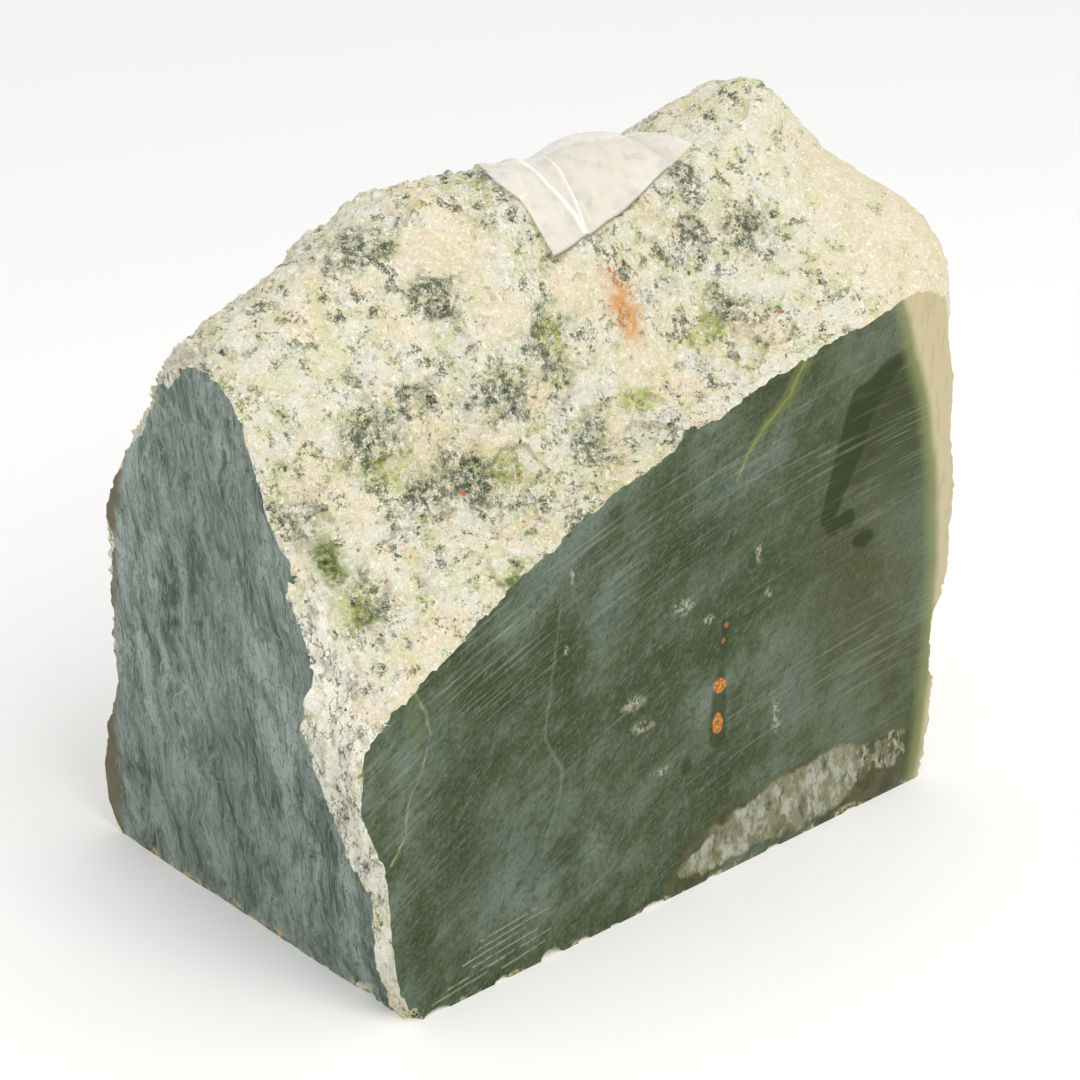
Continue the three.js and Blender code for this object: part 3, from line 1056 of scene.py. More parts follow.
    def _grain(self, w: Wiring, place: Socket, crowding: Socket) -> Socket:
        """The grains' colour: grey or green, and nearly black where they crowd."""
        green = w.step(w.noise(w.shifted(place, 7, 3, 90), 5.0, detail=2), 0.44, 0.56)
        grain = w.mix(green, self.grey_grain, self.green_grain)
        deep = w.step(w.math("ADD", crowding, w.noise(place, 2.4, detail=3)), 1.05, 1.45)
        return w.mix(deep, grain, self.dark_grain)

    def _ground(self, w: Wiring, place: Socket, crowding: Socket, smooth: Socket) -> Socket:
        """The pale ground between the grains: cream or chalky, with peach and mossy places."""
        chalky = w.step(w.noise(place, 9.0, detail=4, roughness=0.6), 0.42, 0.62)
        pale = w.mix(chalky, self.cream, self.chalk)
        warm = w.step(w.noise(w.shifted(place, 0, 80, 0), 14.0, detail=3), 0.52, 0.62)
        warm = w.math("MAXIMUM", w.times(warm, 0.75), w.times(smooth, 0.65))
        pale = w.mix(warm, pale, self.peach)
        mossy = w.step(w.noise(w.shifted(place, 9, 0, 70), 6.5, detail=4, roughness=0.65), 0.46, 0.6)
        mossy = w.math("MULTIPLY", mossy, w.math("MULTIPLY_ADD", crowding, 0.7, 0.3), clamp=True)
        return w.mix(mossy, pale, self.moss)

    def _stains(self, finish: Finish, place: Socket, loose: Socket, colour: Socket) -> Socket:
        """The rust stain, the olive crystals and the lime tints, each in its place."""
        w = finish.wiring
        clumps = w.step(w.noise(place, 1.8, detail=4, roughness=0.7), 0.4, 0.56)
        rust = w.times(finish.spots(loose, ((4, -31, 144, 3.8, 9, 7),), 0.7), w.lerp(clumps, 0.45, 0.95))
        colour = w.mix(rust, colour, self.rust)
        lime = w.times(finish.spots(loose, self.lime_places), clumps)
        colour = w.lay(lime, 0.62, colour, self.lime)
        olive = finish.spots(loose, (
            (-96, -42, 113, 4, 6, 6), (-54, -58, 100, 6, 4, 1.4), (-92, -50, 100, 3, 5, 2),
        ), 0.4)  # fmt: skip
        colour = w.lay(olive, w.lerp(clumps, 0.45, 0.95), colour, self.olive)
        red = w.step(w.noise(w.shifted(place, 22, 0, 11), 3.2, detail=1), 0.76, 0.79)
        return w.lay(red, 0.8, colour, (186, 92, 48))

    def _flaky_edge(self, w: Wiring, place: Socket, split: object, colour: Socket) -> Socket:
        """The grey flakes with dark cracks between them, where the skin turns down beside the left parting."""
        upright = w.vector("MULTIPLY", place, (1.0, 1.0, 0.4))
        near = w.step(w.math("ADD", split["X"], w.times(w.noise(place, 5.0), 5.0)), -93.0, -99.0)
        near = w.times(near, w.step(split["Z"], 118.0, 96.0))
        grey = w.step(w.noise(upright, 3.2, detail=4, roughness=0.7), 0.42, 0.56)
        colour = w.lay(near, w.times(grey, 0.85), colour, (242, 240, 226))
        dark = w.step(w.noise(w.shifted(upright, 0, 30, 0), 3.4, detail=5, roughness=0.75), 0.54, 0.64)
        colour = w.lay(near, w.times(dark, 0.6), colour, (112, 122, 66))
        cracks = w.threads(w.shifted(upright, 5, 5, 5), 6.0, 0.02, detail=4)
        return w.lay(near, w.times(cracks, 0.8), colour, (70, 76, 48))


@dataclass(frozen=True)
class SawnFinish(SurfaceFinish):
    """The saw-cut front: dark green jade with curved saw marks, a pale rim, cracks, stains and inclusions."""

    name: str = "sawn_jade"
    deep: Colour = (46, 58, 26)
    mid: Colour = (78, 89, 66)
    cloud: Colour = (104, 116, 100)
    blue_cloud: Colour = (110, 122, 114)
    olive: Colour = (42, 54, 16)
    scratch: Colour = (172, 182, 168)
    rim: Colour = (184, 173, 141)
    # The middle of the saw blade's arc, across and up, in mm.
    saw_middle: Spot = (110, -405)
    fibre_slope: float = 43

    def dress(self, finish: Finish) -> None:
        """Paints the sawn jade, its marks and stains, and the cream rim past it."""
        w = finish.wiring
        place = w.vector("MULTIPLY", w.millimetres(), (1.0, 0.0, 1.0))
        loose = w.ragged(place, 4.0, 1.6)
        marks = self._saw_marks(finish, place)
        colour = self._jade(finish, place, loose)
        colour = self._cracks(finish, place, colour)
        colour = self._stains(finish, place, colour)
        colour = w.mix(marks, colour, self.scratch)
        colour = self._inclusions(finish, place, loose, colour)
        colour = self._foot(finish, place, loose, colour)
        past = self._past_rim(w, place)
        colour = w.lay(w.step(past, -6.0, 0.5), 0.7, colour, (136, 142, 92))
        colour = w.mix(w.step(past, -0.8, 2.6), colour, self._rim(w, place))
        finish.join(colour, w.lerp(marks, 0.4, 0.6), finish.bump(marks, 0.00005), specular=0.12)

    def _saw_marks(self, finish: Finish, place: Socket) -> Socket:
        """Fine scratches along arcs about the saw's middle: faint all over and strong in a few places."""
        w = finish.wiring
        across, up = self.saw_middle
        arm = w.vector("SUBTRACT", place, (float(across), 0.0, float(up)))
        split = w.node("ShaderNodeSeparateXYZ")
        w.feed(split.inputs[0], arm)
        laid = w.node("ShaderNodeCombineXYZ")
        w.feed(laid.inputs["X"], w.vector("LENGTH", arm, output="Value"))
        w.feed(laid.inputs["Y"], w.times(w.math("ARCTAN2", split.outputs["X"], split.outputs["Z"]), 12.0))
        arcs = laid.outputs[0]
        fine = w.step(w.noise(arcs, 0.9, detail=2, roughness=0.65), 0.5, 0.68)
        sharp = w.step(w.noise(w.shifted(arcs, 9, 4, 0), 1.3, detail=4, roughness=0.8), 0.61, 0.67)
        band = w.step(w.noise(w.shifted(arcs, 40, 0, 0), 7.0, detail=3, roughness=0.6), 0.46, 0.62)
        patch = w.step(w.noise(place, 34.0, detail=2), 0.44, 0.6)
        strong = finish.spots(place, face_spots(
            (-62, 80, 22, 10), (-30, 96, 28, 12), (-94, 62, 7, 16), (14, 106, 30, 8), (62, 98, 26, 9), (60, 44, 30, 9),
        ), 0.9)  # fmt: skip
        amount = w.math("ADD", w.times(w.times(band, patch), 0.3), w.times(strong, 0.3))
        total = w.math("ADD", w.times(fine, 0.4), w.times(sharp, 0.6))
        return w.math("MULTIPLY", total, w.math("ADD", amount, 0.12), clamp=True)

    def _jade(self, finish: Finish, place: Socket, loose: Socket) -> Socket:
        """The jade itself: olive depths and blue-grey clouds, under a fibrous grain that climbs to the right."""
        w = finish.wiring
        fibres = w.slanted(w.ragged(place, 9.0, 1.5), self.fibre_slope, 2.0)
        blots = w.noise(w.slanted(place, 35, 1.6), 13.0, detail=4, roughness=0.58, warp=0.7)
        colour = w.lay(w.step(blots, 0.56, 0.34), 0.62, self.mid, self.deep)
        colour = w.lay(w.step(blots, 0.48, 0.7), 0.6, colour, self.cloud)
        streaks = w.slanted(w.shifted(place, 60, 0, 20), 30, 2.0)
        blue = w.step(w.noise(streaks, 10.0, detail=4, roughness=0.6), 0.5, 0.68)
        colour = w.lay(blue, 0.35, colour, self.blue_cloud)
        broad = w.noise(w.slanted(w.shifted(place, 11, 0, 5), 50, 1.5), 30.0, detail=2, warp=0.4)
        colour = w.lay(w.step(broad, 0.54, 0.36), 0.6, colour, self.deep)
        colour = w.lay(w.step(broad, 0.5, 0.66), 0.6, colour, self.blue_cloud)
        hazy = finish.spots(loose, face_spots((-64, 30, 26, 15), (-84, 66, 10, 9)), 0.9)
        colour = w.lay(hazy, 0.4, colour, self.blue_cloud)
        olive = finish.spots(loose, face_spots(
            (-77, 44, 9, 18), (-60, 72, 11, 7), (-66, 58, 10, 6), (-42, 76, 8, 10), (-90, 22, 5, 16), (-70, 98, 16, 4),
            (-44, 26, 5, 8), (84, 112, 12, 10), (2, 92, 14, 6),
        ), 0.9)  # fmt: skip
        colour = w.lay(olive, 0.82, colour, self.olive)
        dim = finish.spots(loose, face_spots((14, 92, 34, 16), (56, 70, 20, 24)), 0.9)
        colour = w.lay(dim, 0.4, colour, self.deep)
        grain = w.noise(fibres, 0.8, detail=5, roughness=0.85)
        tufts = w.noise(w.shifted(fibres, 5, 0, 30), 2.4, detail=4, roughness=0.7)
        colour = w.lay(w.step(tufts, 0.49, 0.36), 0.5, colour, self.deep)
        colour = w.lay(w.step(tufts, 0.51, 0.66), 0.4, colour, self.cloud)
        colour = w.lay(w.step(grain, 0.49, 0.36), 0.8, colour, self.deep)
        colour = w.lay(w.step(grain, 0.51, 0.66), 0.55, colour, self.blue_cloud)
        sparks = w.step(w.noise(w.shifted(place, 2, 0, 8), 1.0, detail=2, roughness=0.6), 0.7, 0.78)
        return w.lay(sparks, 0.5, colour, self.scratch)

    def _stains(self, finish: Finish, place: Socket, colour: Socket) -> Socket:
        """The dark wet stain: a bent stroke with a broken foot, and the wash that spreads to its right."""
        w = finish.wiring
        slight = w.ragged(place, 3.0, 0.7)
        brownish = finish.spots(slight, face_spots((66, 62, 34, 62),), 0.8)
        colour = w.lay(brownish, 0.45, colour, (78, 78, 46))
        wash = finish.spots(slight, face_spots((74, 108, 14, 11), (80, 97, 11, 15), (66, 100, 10, 10)), 0.8)
        colour = w.lay(wash, 0.7, colour, (50, 58, 24))
        bent = finish.stroke(slight, face_line((62.5, 112), (57.5, 101), (49, 85)), (5.0, 4.8, 2.6), 0.6)
        arm = finish.stroke(slight, face_line((81, 122), (72, 118), (64, 112)), (1.0, 3.0, 4.6), 1.0)
        foot = finish.spots(slight, face_spots((51, 82, 3.0, 2.6), (56, 82.5, 3.2, 3.0), (62, 75.5, 4.0, 2.4)), 0.25)
        return w.lay(w.most(bent, arm, foot), 0.9, colour, (40, 50, 14))

    def _cracks(self, finish: Finish, place: Socket, colour: Socket) -> Socket:
        """The healed cracks: round the wedge at the left, at the top, and a faint one down the middle."""
        w = finish.wiring
        slight = w.ragged(place, 6.0, 0.9)
        wedge = face_line((-87, 83), (-84, 77), (-83, 71), (-87, 62), (-91, 56), (-92, 49), (-97, 43))
        inside = finish.stroke(slight, face_line((-90, 84), (-87, 76), (-87, 69)), (1.4, 2.0, 1.0), 2.2)
        colour = w.lay(inside, 0.35, colour, (100, 114, 72))
        line = finish.stroke(slight, wedge, (0.25, 0.4, 0.3, 0.25, 0.3, 0.3, 0.4), 0.35)
        broken = w.lerp(w.step(w.noise(place, 3.0, detail=3), 0.42, 0.58), 0.3, 0.65)
        colour = w.lay(line, broken, colour, (152, 160, 112))
        high = face_line((42, 129), (36, 121), (28, 116), (21, 110), (17, 104))
        leaf = finish.stroke(slight, high, (2.4, 2.0, 1.7, 0.9, 0.2), 0.7)
        colour = w.lay(leaf, 0.6, colour, (106, 112, 58))
        edge = finish.stroke(slight, high, (0.5, 0.4, 0.4, 0.4, 0.2), 0.4)
        colour = w.lay(edge, 0.4, colour, (158, 162, 96))
        middle = face_line((-41, 94), (-46, 70), (-49, 58), (-44, 48), (-45, 42), (-51, 30))
        faint = finish.stroke(slight, middle, (0.2, 0.3, 0.4, 0.6, 0.5, 0.2), 0.5)
        return w.lay(faint, 0.22, colour, (150, 164, 138))

    def _inclusions(self, finish: Finish, place: Socket, loose: Socket, colour: Socket) -> Socket:
        """The rusty inclusions with dark halos, a dark blob and the pale dashes."""
        w = finish.wiring
        slight = w.ragged(place, 1.6, 0.6)
        halo = finish.stroke(slight, face_line((12, 68), (10.4, 58), (9, 50), (8, 38)), (0.9, 0.5, 2.4, 2.8), 0.9)
        blobs = face_spots((-3, 34, 2.0, 2.2), (12, 67, 1.7, 2.2), (11, 63.5, 1.5, 1.5))
        dark = w.most(halo, finish.spots(slight, blobs, 0.4))
        colour = w.lay(dark, 0.7, colour, (46, 52, 22))
        mottle = w.step(w.noise(place, 1.1, detail=3, roughness=0.7), 0.4, 0.62)
        rust = finish.spots(slight, face_spots((9.4, 52, 2.2, 1.9), (8.2, 42, 1.8, 2.7)), 0.15)
        colour = w.mix(rust, colour, w.mix(mottle, (150, 88, 40), (204, 144, 78)))
        small = finish.spots(slight, face_spots((12.2, 67.6, 0.8, 0.8), (11, 63.6, 0.7, 0.7)), 0.3)
        colour = w.lay(small, 0.7, colour, (150, 108, 56))
        pale = finish.spots(loose, face_spots(
            (27, 71, 1.0, 1.3), (6, 71, 1.6, 0.9), (-2, 77, 3.4, 1.8), (29, 37, 1.1, 4.0), (-20, 57, 3.4, 1.6),
            (-17, 50, 3.6, 1.2), (24, 83, 1.0, 2.2), (-11, 36, 2.4, 0.9), (-41, 78, 0.6, 0.8), (-38, 96, 0.7, 2.0),
        ), 0.7)  # fmt: skip
        specked = w.step(w.noise(place, 1.6, detail=3, roughness=0.7), 0.44, 0.56)
        return w.lay(w.times(pale, specked), 0.6, colour, (190, 180, 156))

    def _foot(self, finish: Finish, place: Socket, loose: Socket, colour: Socket) -> Socket:
        """The grey-white crust low on the right, its borders, and the pale scratches at the left foot."""
        w = finish.wiring
        dripping = w.vector("MULTIPLY", place, (1.0, 1.0, 0.6))
        torn = w.ragged(loose, 7.0, 3.4)
        edge = finish.stroke(torn, face_line((-8, 2), (0, 7), (14, 11), (46, 11), (74, 9)), (4, 7, 8, 8.5, 8.5), 1.5)
        brown = w.step(w.noise(place, 5.0, detail=3, roughness=0.6), 0.4, 0.6)
        colour = w.lay(edge, 0.8, colour, w.mix(brown, (62, 66, 34), (86, 84, 56)))
        body = finish.stroke(torn, face_line((-5, 5), (8, 8.5), (28, 10.5), (52, 11.5)), (2.4, 5.2, 7.8, 8.4), 0.9)
        drips = w.step(w.noise(w.shifted(dripping, 30, 0, 0), 3.0, detail=3, roughness=0.6), 0.46, 0.56)
        right = finish.stroke(torn, face_line((50, 12), (74, 12)), (5.6, 5.0), 1.0)
        clumps = w.lerp(w.step(w.noise(dripping, 4.0, detail=5, roughness=0.7, warp=0.5), 0.36, 0.46), 0.25, 1.0)
        whole = w.most(w.times(body, clumps), w.times(right, drips))
        tint = w.step(w.noise(dripping, 5.0, detail=4, roughness=0.65), 0.42, 0.6)
        crust = w.mix(tint, (126, 126, 100), (166, 170, 154))
        stained = w.step(w.noise(w.shifted(dripping, 0, 0, 60), 3.4, detail=4, roughness=0.7), 0.5, 0.6)
        crust = w.lay(stained, 0.75, crust, (104, 98, 66))
        colour = w.lay(whole, 0.88, colour, crust)
        dusty = finish.stroke(torn, face_line((-100, 0), (90, 0)), (0.9, 0.9), 0.7)
        flecks = w.step(w.noise(place, 4.5, detail=3, roughness=0.7), 0.5, 0.6)
        colour = w.lay(w.times(dusty, flecks), 0.7, colour, (196, 184, 138))
        lines = w.most(*(
            finish.stroke(place, face_line(*ends), (0.16, 0.06), 0.3)
            for ends in (
                ((-74, 11.2), (-50, 13.6)), ((-83, 4.6), (-62, 6.8)), ((-75, 7.4), (-54, 9.4)),
                ((-78, 9.0), (-58, 11.2)), ((-70, 5.6), (-50, 7.8)), ((-88, 2.6), (-70, 4.4)),
                ((-72, 13.2), (-54, 15.0)), ((-66, 3.4), (-52, 5.2)),
            )
        ))  # fmt: skip
        scuffed = w.step(w.noise(place, 2.4, detail=2), 0.3, 0.55)
        return w.lay(w.times(lines, scuffed), 0.7, colour, (176, 178, 158))

    def _rim(self, w: Wiring, place: Socket) -> Socket:
        """The cream rim's colour, with faint veins along it."""
        veins = w.noise(w.slanted(place, 80, 5.0), 2.0, detail=4, roughness=0.65)
        return w.lay(w.step(veins, 0.5, 0.64), 0.5, self.rim, (164, 153, 118))

    def _past_rim(self, w: Wiring, place: Socket) -> Socket:
        """How far a place lies past the inner edge of the cream rim at the right, in mm."""
        split = w.node("ShaderNodeSeparateXYZ")
        w.feed(split.inputs[0], w.ragged(place, 14.0, 1.5))
        up = w.math("SUBTRACT", split.outputs["Z"], 72.0)
        bend = w.lerp(w.math("GREATER_THAN", up, 0.0), 0.0017, 0.0032)
        inner = w.math("SUBTRACT", 89.8, w.times(w.times(up, up), bend))
        return w.math("SUBTRACT", split.outputs["X"], inner)


@dataclass(frozen=True)
class PartedFinish(SurfaceFinish):
    """The parted left side: slate green with wavy upright streaks, brown at the back and tan at the foot."""

    name: str = "parted_jade"
    mid: Colour = (117, 132, 124)
    light: Colour = (156, 169, 162)
    dark: Colour = (66, 80, 68)
    brown: Colour = (106, 96, 70)
    tan: Colour = (206, 178, 138)

    def dress(self, finish: Finish) -> None:
        """Paints the parted side's streaks and edges, with their relief."""
        w = finish.wiring
        place = w.vector("MULTIPLY", w.millimetres(), (0.0, 1.0, 1.0))
        wavy = w.ragged(place, 17.0, 5.0)
        upright = w.vector("MULTIPLY", wavy, (1.0, 1.0, 0.2))
        fine = w.noise(upright, 0.9, detail=4, roughness=0.78)
        broad = w.noise(w.vector("MULTIPLY", wavy, (1.0, 1.0, 0.35)), 7.0, detail=4, roughness=0.6, warp=0.8)
        grit = w.noise(place, 1.1, detail=3, roughness=0.75)
        colour = w.mix(w.step(broad, 0.42, 0.64), self.mid, self.light)
        colour = w.lay(w.step(broad, 0.47, 0.32), 0.9, colour, self.dark)
        colour = w.lay(w.step(fine, 0.52, 0.68), 0.75, colour, self.light)
        colour = w.lay(w.step(fine, 0.48, 0.33), 0.85, colour, self.dark)
        colour = w.lay(w.step(grit, 0.45, 0.32), 0.7, colour, self.dark)
        lines = w.threads(w.vector("MULTIPLY", wavy, (1.0, 1.0, 0.14)), 5.5, 0.022, detail=3)
        colour = w.lay(lines, 0.34, colour, (58, 72, 58))
        pale = w.threads(w.shifted(upright, 0, 40, 9), 7.0, 0.014, detail=2)
        colour = w.lay(pale, 0.5, colour, (168, 178, 166))
        colour = self._edges(finish, place, colour)
        relief = finish.bump(lines, 0.0001, finish.bump(broad, 0.0008))
        finish.join(colour, w.lerp(fine, 0.5, 0.72), finish.bump(fine, 0.00045, relief), specular=0.15)

    def _edges(self, finish: Finish, place: Socket, colour: Socket) -> Socket:
        """The brown back rim, the tan stains along the foot and the darker middle."""
        w = finish.wiring
        loose = w.ragged(place, 6.0, 2.2)
        middle = finish.spots(loose, ((0, -4, 100, 9, 14, 34), (0, -3, 50, 9, 9, 16)), 0.9)
        colour = w.lay(middle, 0.35, colour, (72, 88, 70))
        low = finish.spots(loose, ((0, 8, 18, 9, 56, 26),), 0.9)
        colour = w.lay(low, 0.34, colour, (66, 80, 62))
        rim = finish.stroke(loose, ((0, 18, 148), (0, 40, 93), (0, 52, 42), (0, 58, 3)), (2.8, 4.0, 4.4, 5.0), 1.8)
        colour = w.lay(rim, 0.88, colour, self.brown)
        crumbs = w.step(w.noise(place, 4.0, detail=4, roughness=0.7), 0.5, 0.62)
        foot = finish.stroke(loose, ((0, -42, 0), (0, 40, 0)), (1.6, 2.0), 1.6)
        return w.lay(w.times(foot, crumbs), 0.85, colour, self.tan)


@dataclass(frozen=True)
class BaseFinish(SurfaceFinish):
    """The sawn base: the same jade as the front, cut straight, dull with dust."""

    name: str = "sawn_base"
    deep: Colour = (70, 80, 58)
    pale: Colour = (122, 132, 116)

    def dress(self, finish: Finish) -> None:
        """Paints the base's clouds and saw lines."""
        w = finish.wiring
        place = w.millimetres()
        lines = w.noise(w.vector("MULTIPLY", place, (0.03, 1.0, 1.0)), 0.6, detail=3, roughness=0.6)
        clouds = w.noise(place, 18.0, detail=4, warp=0.6)
        colour = w.mix(w.step(clouds, 0.36, 0.66), self.deep, self.pale)
        colour = w.lay(w.step(lines, 0.55, 0.75), 0.5, colour, (170, 176, 160))
        finish.join(colour, w.lerp(clouds, 0.5, 0.7), finish.bump(lines, 0.00005), specular=0.15)


# ---- The tape ----


@dataclass(frozen=True)
class TapeFinish(SurfaceFinish):
    """Milky clear tape, whiter and more solid along its creases, partly from the folded film's own whitening and
    partly as a painted highlight.
    """

    name: str = "milky_tape"
    milk: Colour = (246, 242, 235)
    # The dark olive of the painted shadow along the tape's near edge.
    dirt: Colour = (104, 100, 74)
    crease: Colour = (250, 247, 241)

    def dress(self, finish: Finish) -> None:
        """Paints the film, its creases and a painted shadow along its near edge, and lets the stone show through."""
        w = finish.wiring
        place = w.millimetres()
        folded = w.node("ShaderNodeAttribute", attribute_name="crease").outputs["Fac"]
        cloudy = w.noise(place, 9.0, detail=4, roughness=0.6)
        # The near edge is painted dark and more solid: a painted shadow of the gap under the tape's edge.
        edge_shadowed = w.node("ShaderNodeAttribute", attribute_name="edge").outputs["Fac"]
        # The creases are painted near white and nearly opaque: partly the folded film's own whitening, partly a
        # painted highlight on the folds.
        colour = w.mix(folded, self.milk, self.crease)
        colour = w.mix(edge_shadowed, colour, self.dirt)
        solid = w.lerp(w.math("MAXIMUM", folded, edge_shadowed), w.lerp(cloudy, 0.2, 0.52), 0.97)
        w.feed(finish.shader.inputs["Alpha"], solid)
        relief = finish.bump(w.noise(place, 5.0, detail=3), 0.0006)
        finish.join(colour, w.lerp(cloudy, 0.22, 0.4), relief, specular=0.3)


@dataclass
class TapeStrip:
    """The strip of clear tape stuck over the ridge, pulled taut over the skin's high points."""

    packed: PackedStone
    stone: bpy.types.Object
    effects: Effects
    steps_along: int = 110
    steps_across: int = 84
    gap: float = 0.12 * MM
    film: float = 0.1 * MM
    pulls: int = 260
    lift: float = 0.7 * MM
    tent: float = 2.4 * MM
    # Corners whose directions from the heart bound the strip, from the corner of the stone, in mm.
    near_left: Place = (81.5, 41, 157)
    near_right: Place = (139, 54, 171)
    far_left: Place = (85, 92, 158)
    far_right: Place = (117, 96, 161)
    # Creases, as places across and back from the stone's corner, in mm.
    creases: tuple[tuple[Spot, ...], ...] = (
        ((88, 67), (87, 57), (88, 51), (92, 45), (93, 41)),
        ((99, 64), (96, 54), (93, 43)),
        ((77, 49), (88, 50)),
    )
    crease_widths: tuple[float, ...] = (0.6, 0.4, 0.25)

    def build(self) -> bpy.types.Object:
        """Makes the tape.

        Returns:
            The finished object.
        """
        deselect_all()
        bpy.ops.mesh.primitive_grid_add(
            x_subdivisions=self.steps_along, y_subdivisions=self.steps_across, size=1
        )
        tape = bpy.context.object
        tape.name = "clear_tape_strip"
        along, across = (points_of(tape.data)[:, :2] + 0.5).T
        directions = self._directions(along, across)
        skin = self.packed.reach(directions)
        reach = skin + self._pulled(along, across, self._surface_reach(directions) - skin)
        folded = self._folds(self.packed.heart + directions * reach[:, None])
        edge = np.clip(1 - across / 0.05, 0, 1)
        tent = self.tent * np.exp(-(((along - 0.55) / 0.3) ** 2)) * np.sin(math.pi * across)
        points = self.packed.heart + directions * (reach + tent + self.lift * (folded + 0.5 * edge))[:, None]
        put_points(tape.data, points)
        # The first row along the near edge, which the finish paints dark as a painted shadow under the edge.
        dirt = (across < 0.5 / self.steps_across) & (along < 0.8)
        for name, values in (("crease", folded), ("edge", dirt)):
            store(tape.data, name, values)
        pick(tape)
        face_out()
        apply_modifier(tape, "SOLIDIFY", thickness=self.film, offset=1.0)
        bpy.ops.object.shade_smooth()
        tape.data.materials.append(TapeFinish().make(self.effects))
        return tape

    def _directions(self, along: np.ndarray, across: np.ndarray) -> np.ndarray:
        """Unit vectors from the heart for shares along and across the strip, with its ragged left end."""
        torn = np.array([noise.noise(Vector((8 * share, 4, 0))) for share in across])
        bulge = 0.1 * np.exp(-(((across - 0.32) / 0.2) ** 2)) + 0.02 * torn
        along = along - bulge * (1 - along)
        dip = 0.035 * np.sin(math.pi * np.clip(along, 0, 1) ** 0.8)
        across = across - dip * (1 - across)
        corners = [self.packed.place(p) for p in (self.near_left, self.near_right, self.far_left, self.far_right)]
        near = np.outer(1 - along, corners[0]) + np.outer(along, corners[1])
        far = np.outer(1 - along, corners[2]) + np.outer(along, corners[3])
        arms = near * (1 - across)[:, None] + far * across[:, None] - self.packed.heart
        return arms / np.linalg.norm(arms, axis=1)[:, None]

    def _surface_reach(self, directions: np.ndarray) -> np.ndarray:
        """How far the stone's surface lies from the heart in each direction, at its outermost."""
        mesh = self.stone.data
        tree = BVHTree.FromPolygons([v.co for v in mesh.vertices], [tuple(face.vertices) for face in mesh.polygons])
        heart, far = Vector(self.packed.heart), 0.3
        found = np.empty(len(directions))
        for index, direction in enumerate(directions):
            way = Vector(direction)
            found[index] = far - tree.ray_cast(heart + way * far, -way)[3]
        return found + self.gap

    def _pulled(self, along: np.ndarray, across: np.ndarray, surface: np.ndarray) -> np.ndarray:
        """The height of a film pulled taut over the surface.

        Args:
            along: Each vertex's share along the strip.
            across: Each vertex's share across it.
            surface: The surface's height over the smooth skin at each vertex.

        Returns:
            The film's height over the smooth skin at each vertex.
        """
        order = np.lexsort((along, across))
        columns = len(np.unique(np.round(along, 6)))
        floor = surface[order].reshape(-1, columns)
        film = floor.copy()
        for _ in range(self.pulls):
            padded = np.pad(film, 1, mode="edge")
            mean = (padded[:-2, 1:-1] + padded[2:, 1:-1] + padded[1:-1, :-2] + padded[1:-1, 2:]) / 4
            film = np.maximum(floor, mean)
        height = np.empty_like(surface)
        height[order] = film.ravel()
        return height

    def _folds(self, points: np.ndarray) -> np.ndarray:
        """How far each point is folded up in a crease, from 0 to 1."""
        flat = (points - self.packed.corner)[:, :2] / MM
        folded = np.zeros(len(points))
        for line, width in zip(self.creases, self.crease_widths):
            for start, end in zip(line, line[1:]):
                start, way = np.array(start, float), np.array(end, float) - np.array(start, float)
                share = np.clip((flat - start) @ way / (way @ way), 0, 1)
                off = np.linalg.norm(flat - start - np.outer(share, way), axis=1)
                folded = np.maximum(folded, np.exp(-((off / width) ** 2)) * min(1, width / 0.7))
        return folded


# ---- Studio ----


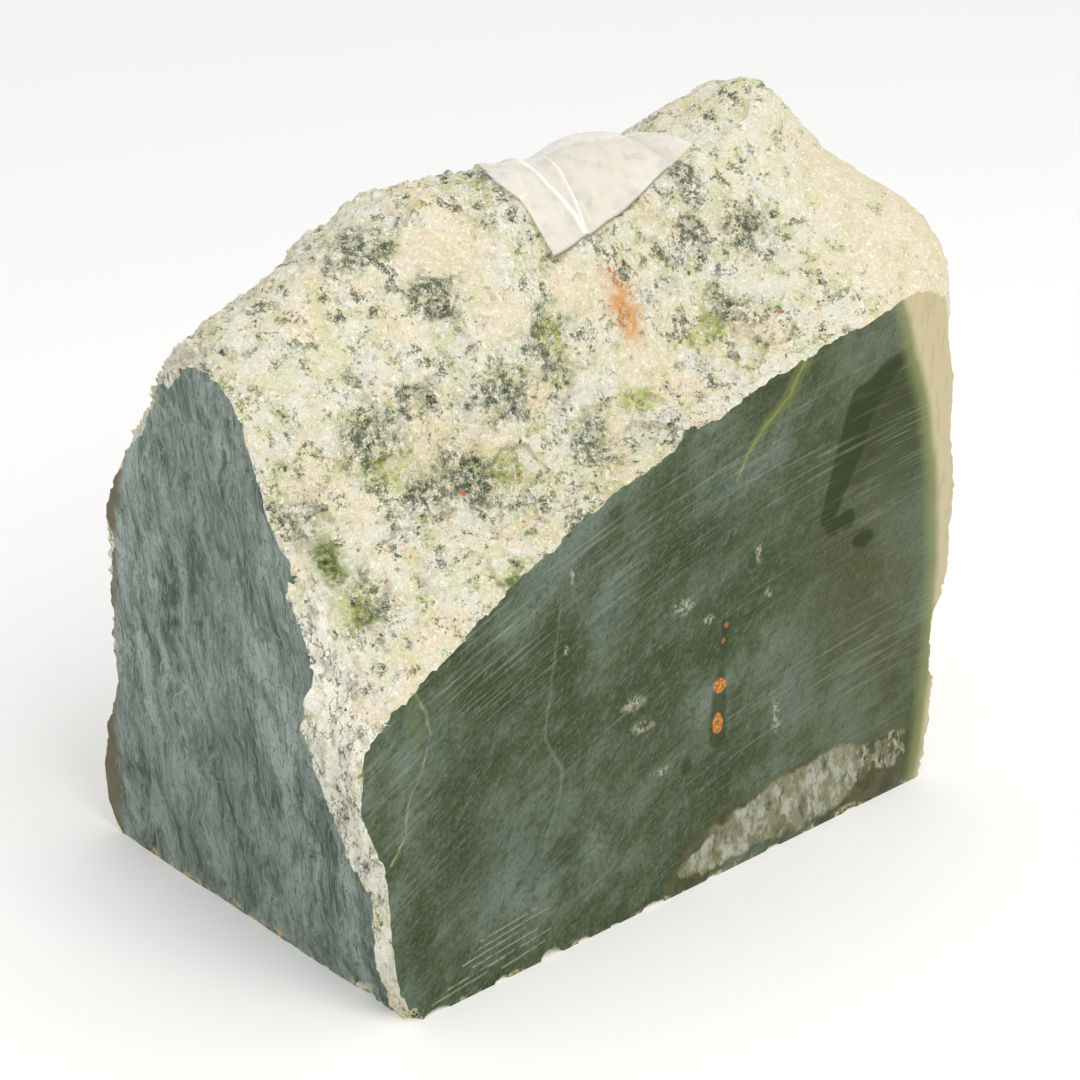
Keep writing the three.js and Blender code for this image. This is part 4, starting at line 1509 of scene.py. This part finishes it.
@dataclass
class Studio:
    """The floor, the lights and the camera."""

    stone: PackedStone
    azimuth: float = -41.94
    elevation: float = 24.82
    distance: float = 0.8051
    lens: float = 100.0
    # What the camera looks at, from the foot of the stone's front left corner, in mm.
    aim: Place = (116.2, 84.8, 60.0)

    def build(self) -> None:
        """Makes the studio."""
        self._floor()
        self._camera()
        self._lights()

    def _floor(self) -> None:
        """A plain pale floor."""
        deselect_all()
        bpy.ops.mesh.primitive_plane_add(size=12)
        floor = bpy.context.object
        floor.name = "floor"
        material = bpy.data.materials.new("pale_floor")
        material.use_nodes = True
        shader = material.node_tree.nodes["Principled BSDF"]
        shader.inputs["Base Color"].default_value = (0.9, 0.9, 0.9, 1)
        shader.inputs["Roughness"].default_value = 0.9
        floor.data.materials.append(material)

    def _camera(self) -> None:
        """A camera that looks down on the front left corner."""
        aim = self.stone.place(self.aim)
        turn, tilt = math.radians(self.azimuth), math.radians(self.elevation)
        back = np.array([math.sin(turn) * math.cos(tilt), -math.cos(turn) * math.cos(tilt), math.sin(tilt)])
        data = bpy.data.cameras.new("camera")
        data.lens = self.lens
        data.sensor_width = 36
        data.clip_start = 0.01
        camera = bpy.data.objects.new("camera", data)
        camera.location = aim + back * self.distance
        camera.rotation_euler = Vector(-back).to_track_quat("-Z", "Y").to_euler()
        bpy.context.scene.collection.objects.link(camera)
        bpy.context.scene.camera = camera

    def _lights(self) -> None:
        """An even pale sky and one large soft lamp above the front."""
        world = bpy.data.worlds.new("sky")
        world.use_nodes = True
        world.node_tree.nodes["Background"].inputs["Color"].default_value = (1, 1, 1, 1)
        world.node_tree.nodes["Background"].inputs["Strength"].default_value = 0.9
        bpy.context.scene.world = world
        lamp = bpy.data.lights.new("key", "AREA")
        lamp.energy = 7.5
        lamp.size = 0.7
        lamp.color = (1.0, 0.97, 0.92)
        key = bpy.data.objects.new("key", lamp)
        key.location = (-0.1, -0.8, 1.0)
        key.rotation_euler = (Vector((0, 0, 0.08)) - key.location).to_track_quat("-Z", "Y").to_euler()
        bpy.context.scene.collection.objects.link(key)
        bpy.context.scene.view_settings.view_transform = "Standard"


def main() -> None:
    """Builds the object and its studio, and reports each piece."""
    logging.basicConfig(level=logging.INFO, format="%(name)s: %(message)s")
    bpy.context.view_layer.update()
    packed = PackedStone()
    log.info("heart %s, front %s, left %s", packed.heart, packed.front, packed.left)
    effects = Effects.make()
    stone = Boulder(packed, effects).build()
    log.info("%s has %d faces", stone.name, len(stone.data.polygons))
    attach(stone, "root")
    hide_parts("jade_stone")
    tape = TapeStrip(packed, stone, effects).build()
    log.info("%s has %d faces", tape.name, len(tape.data.polygons))
    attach(tape, "root")
    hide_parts("tape_strip")
    Studio(packed).build()


if __name__ == "__main__":
    main()
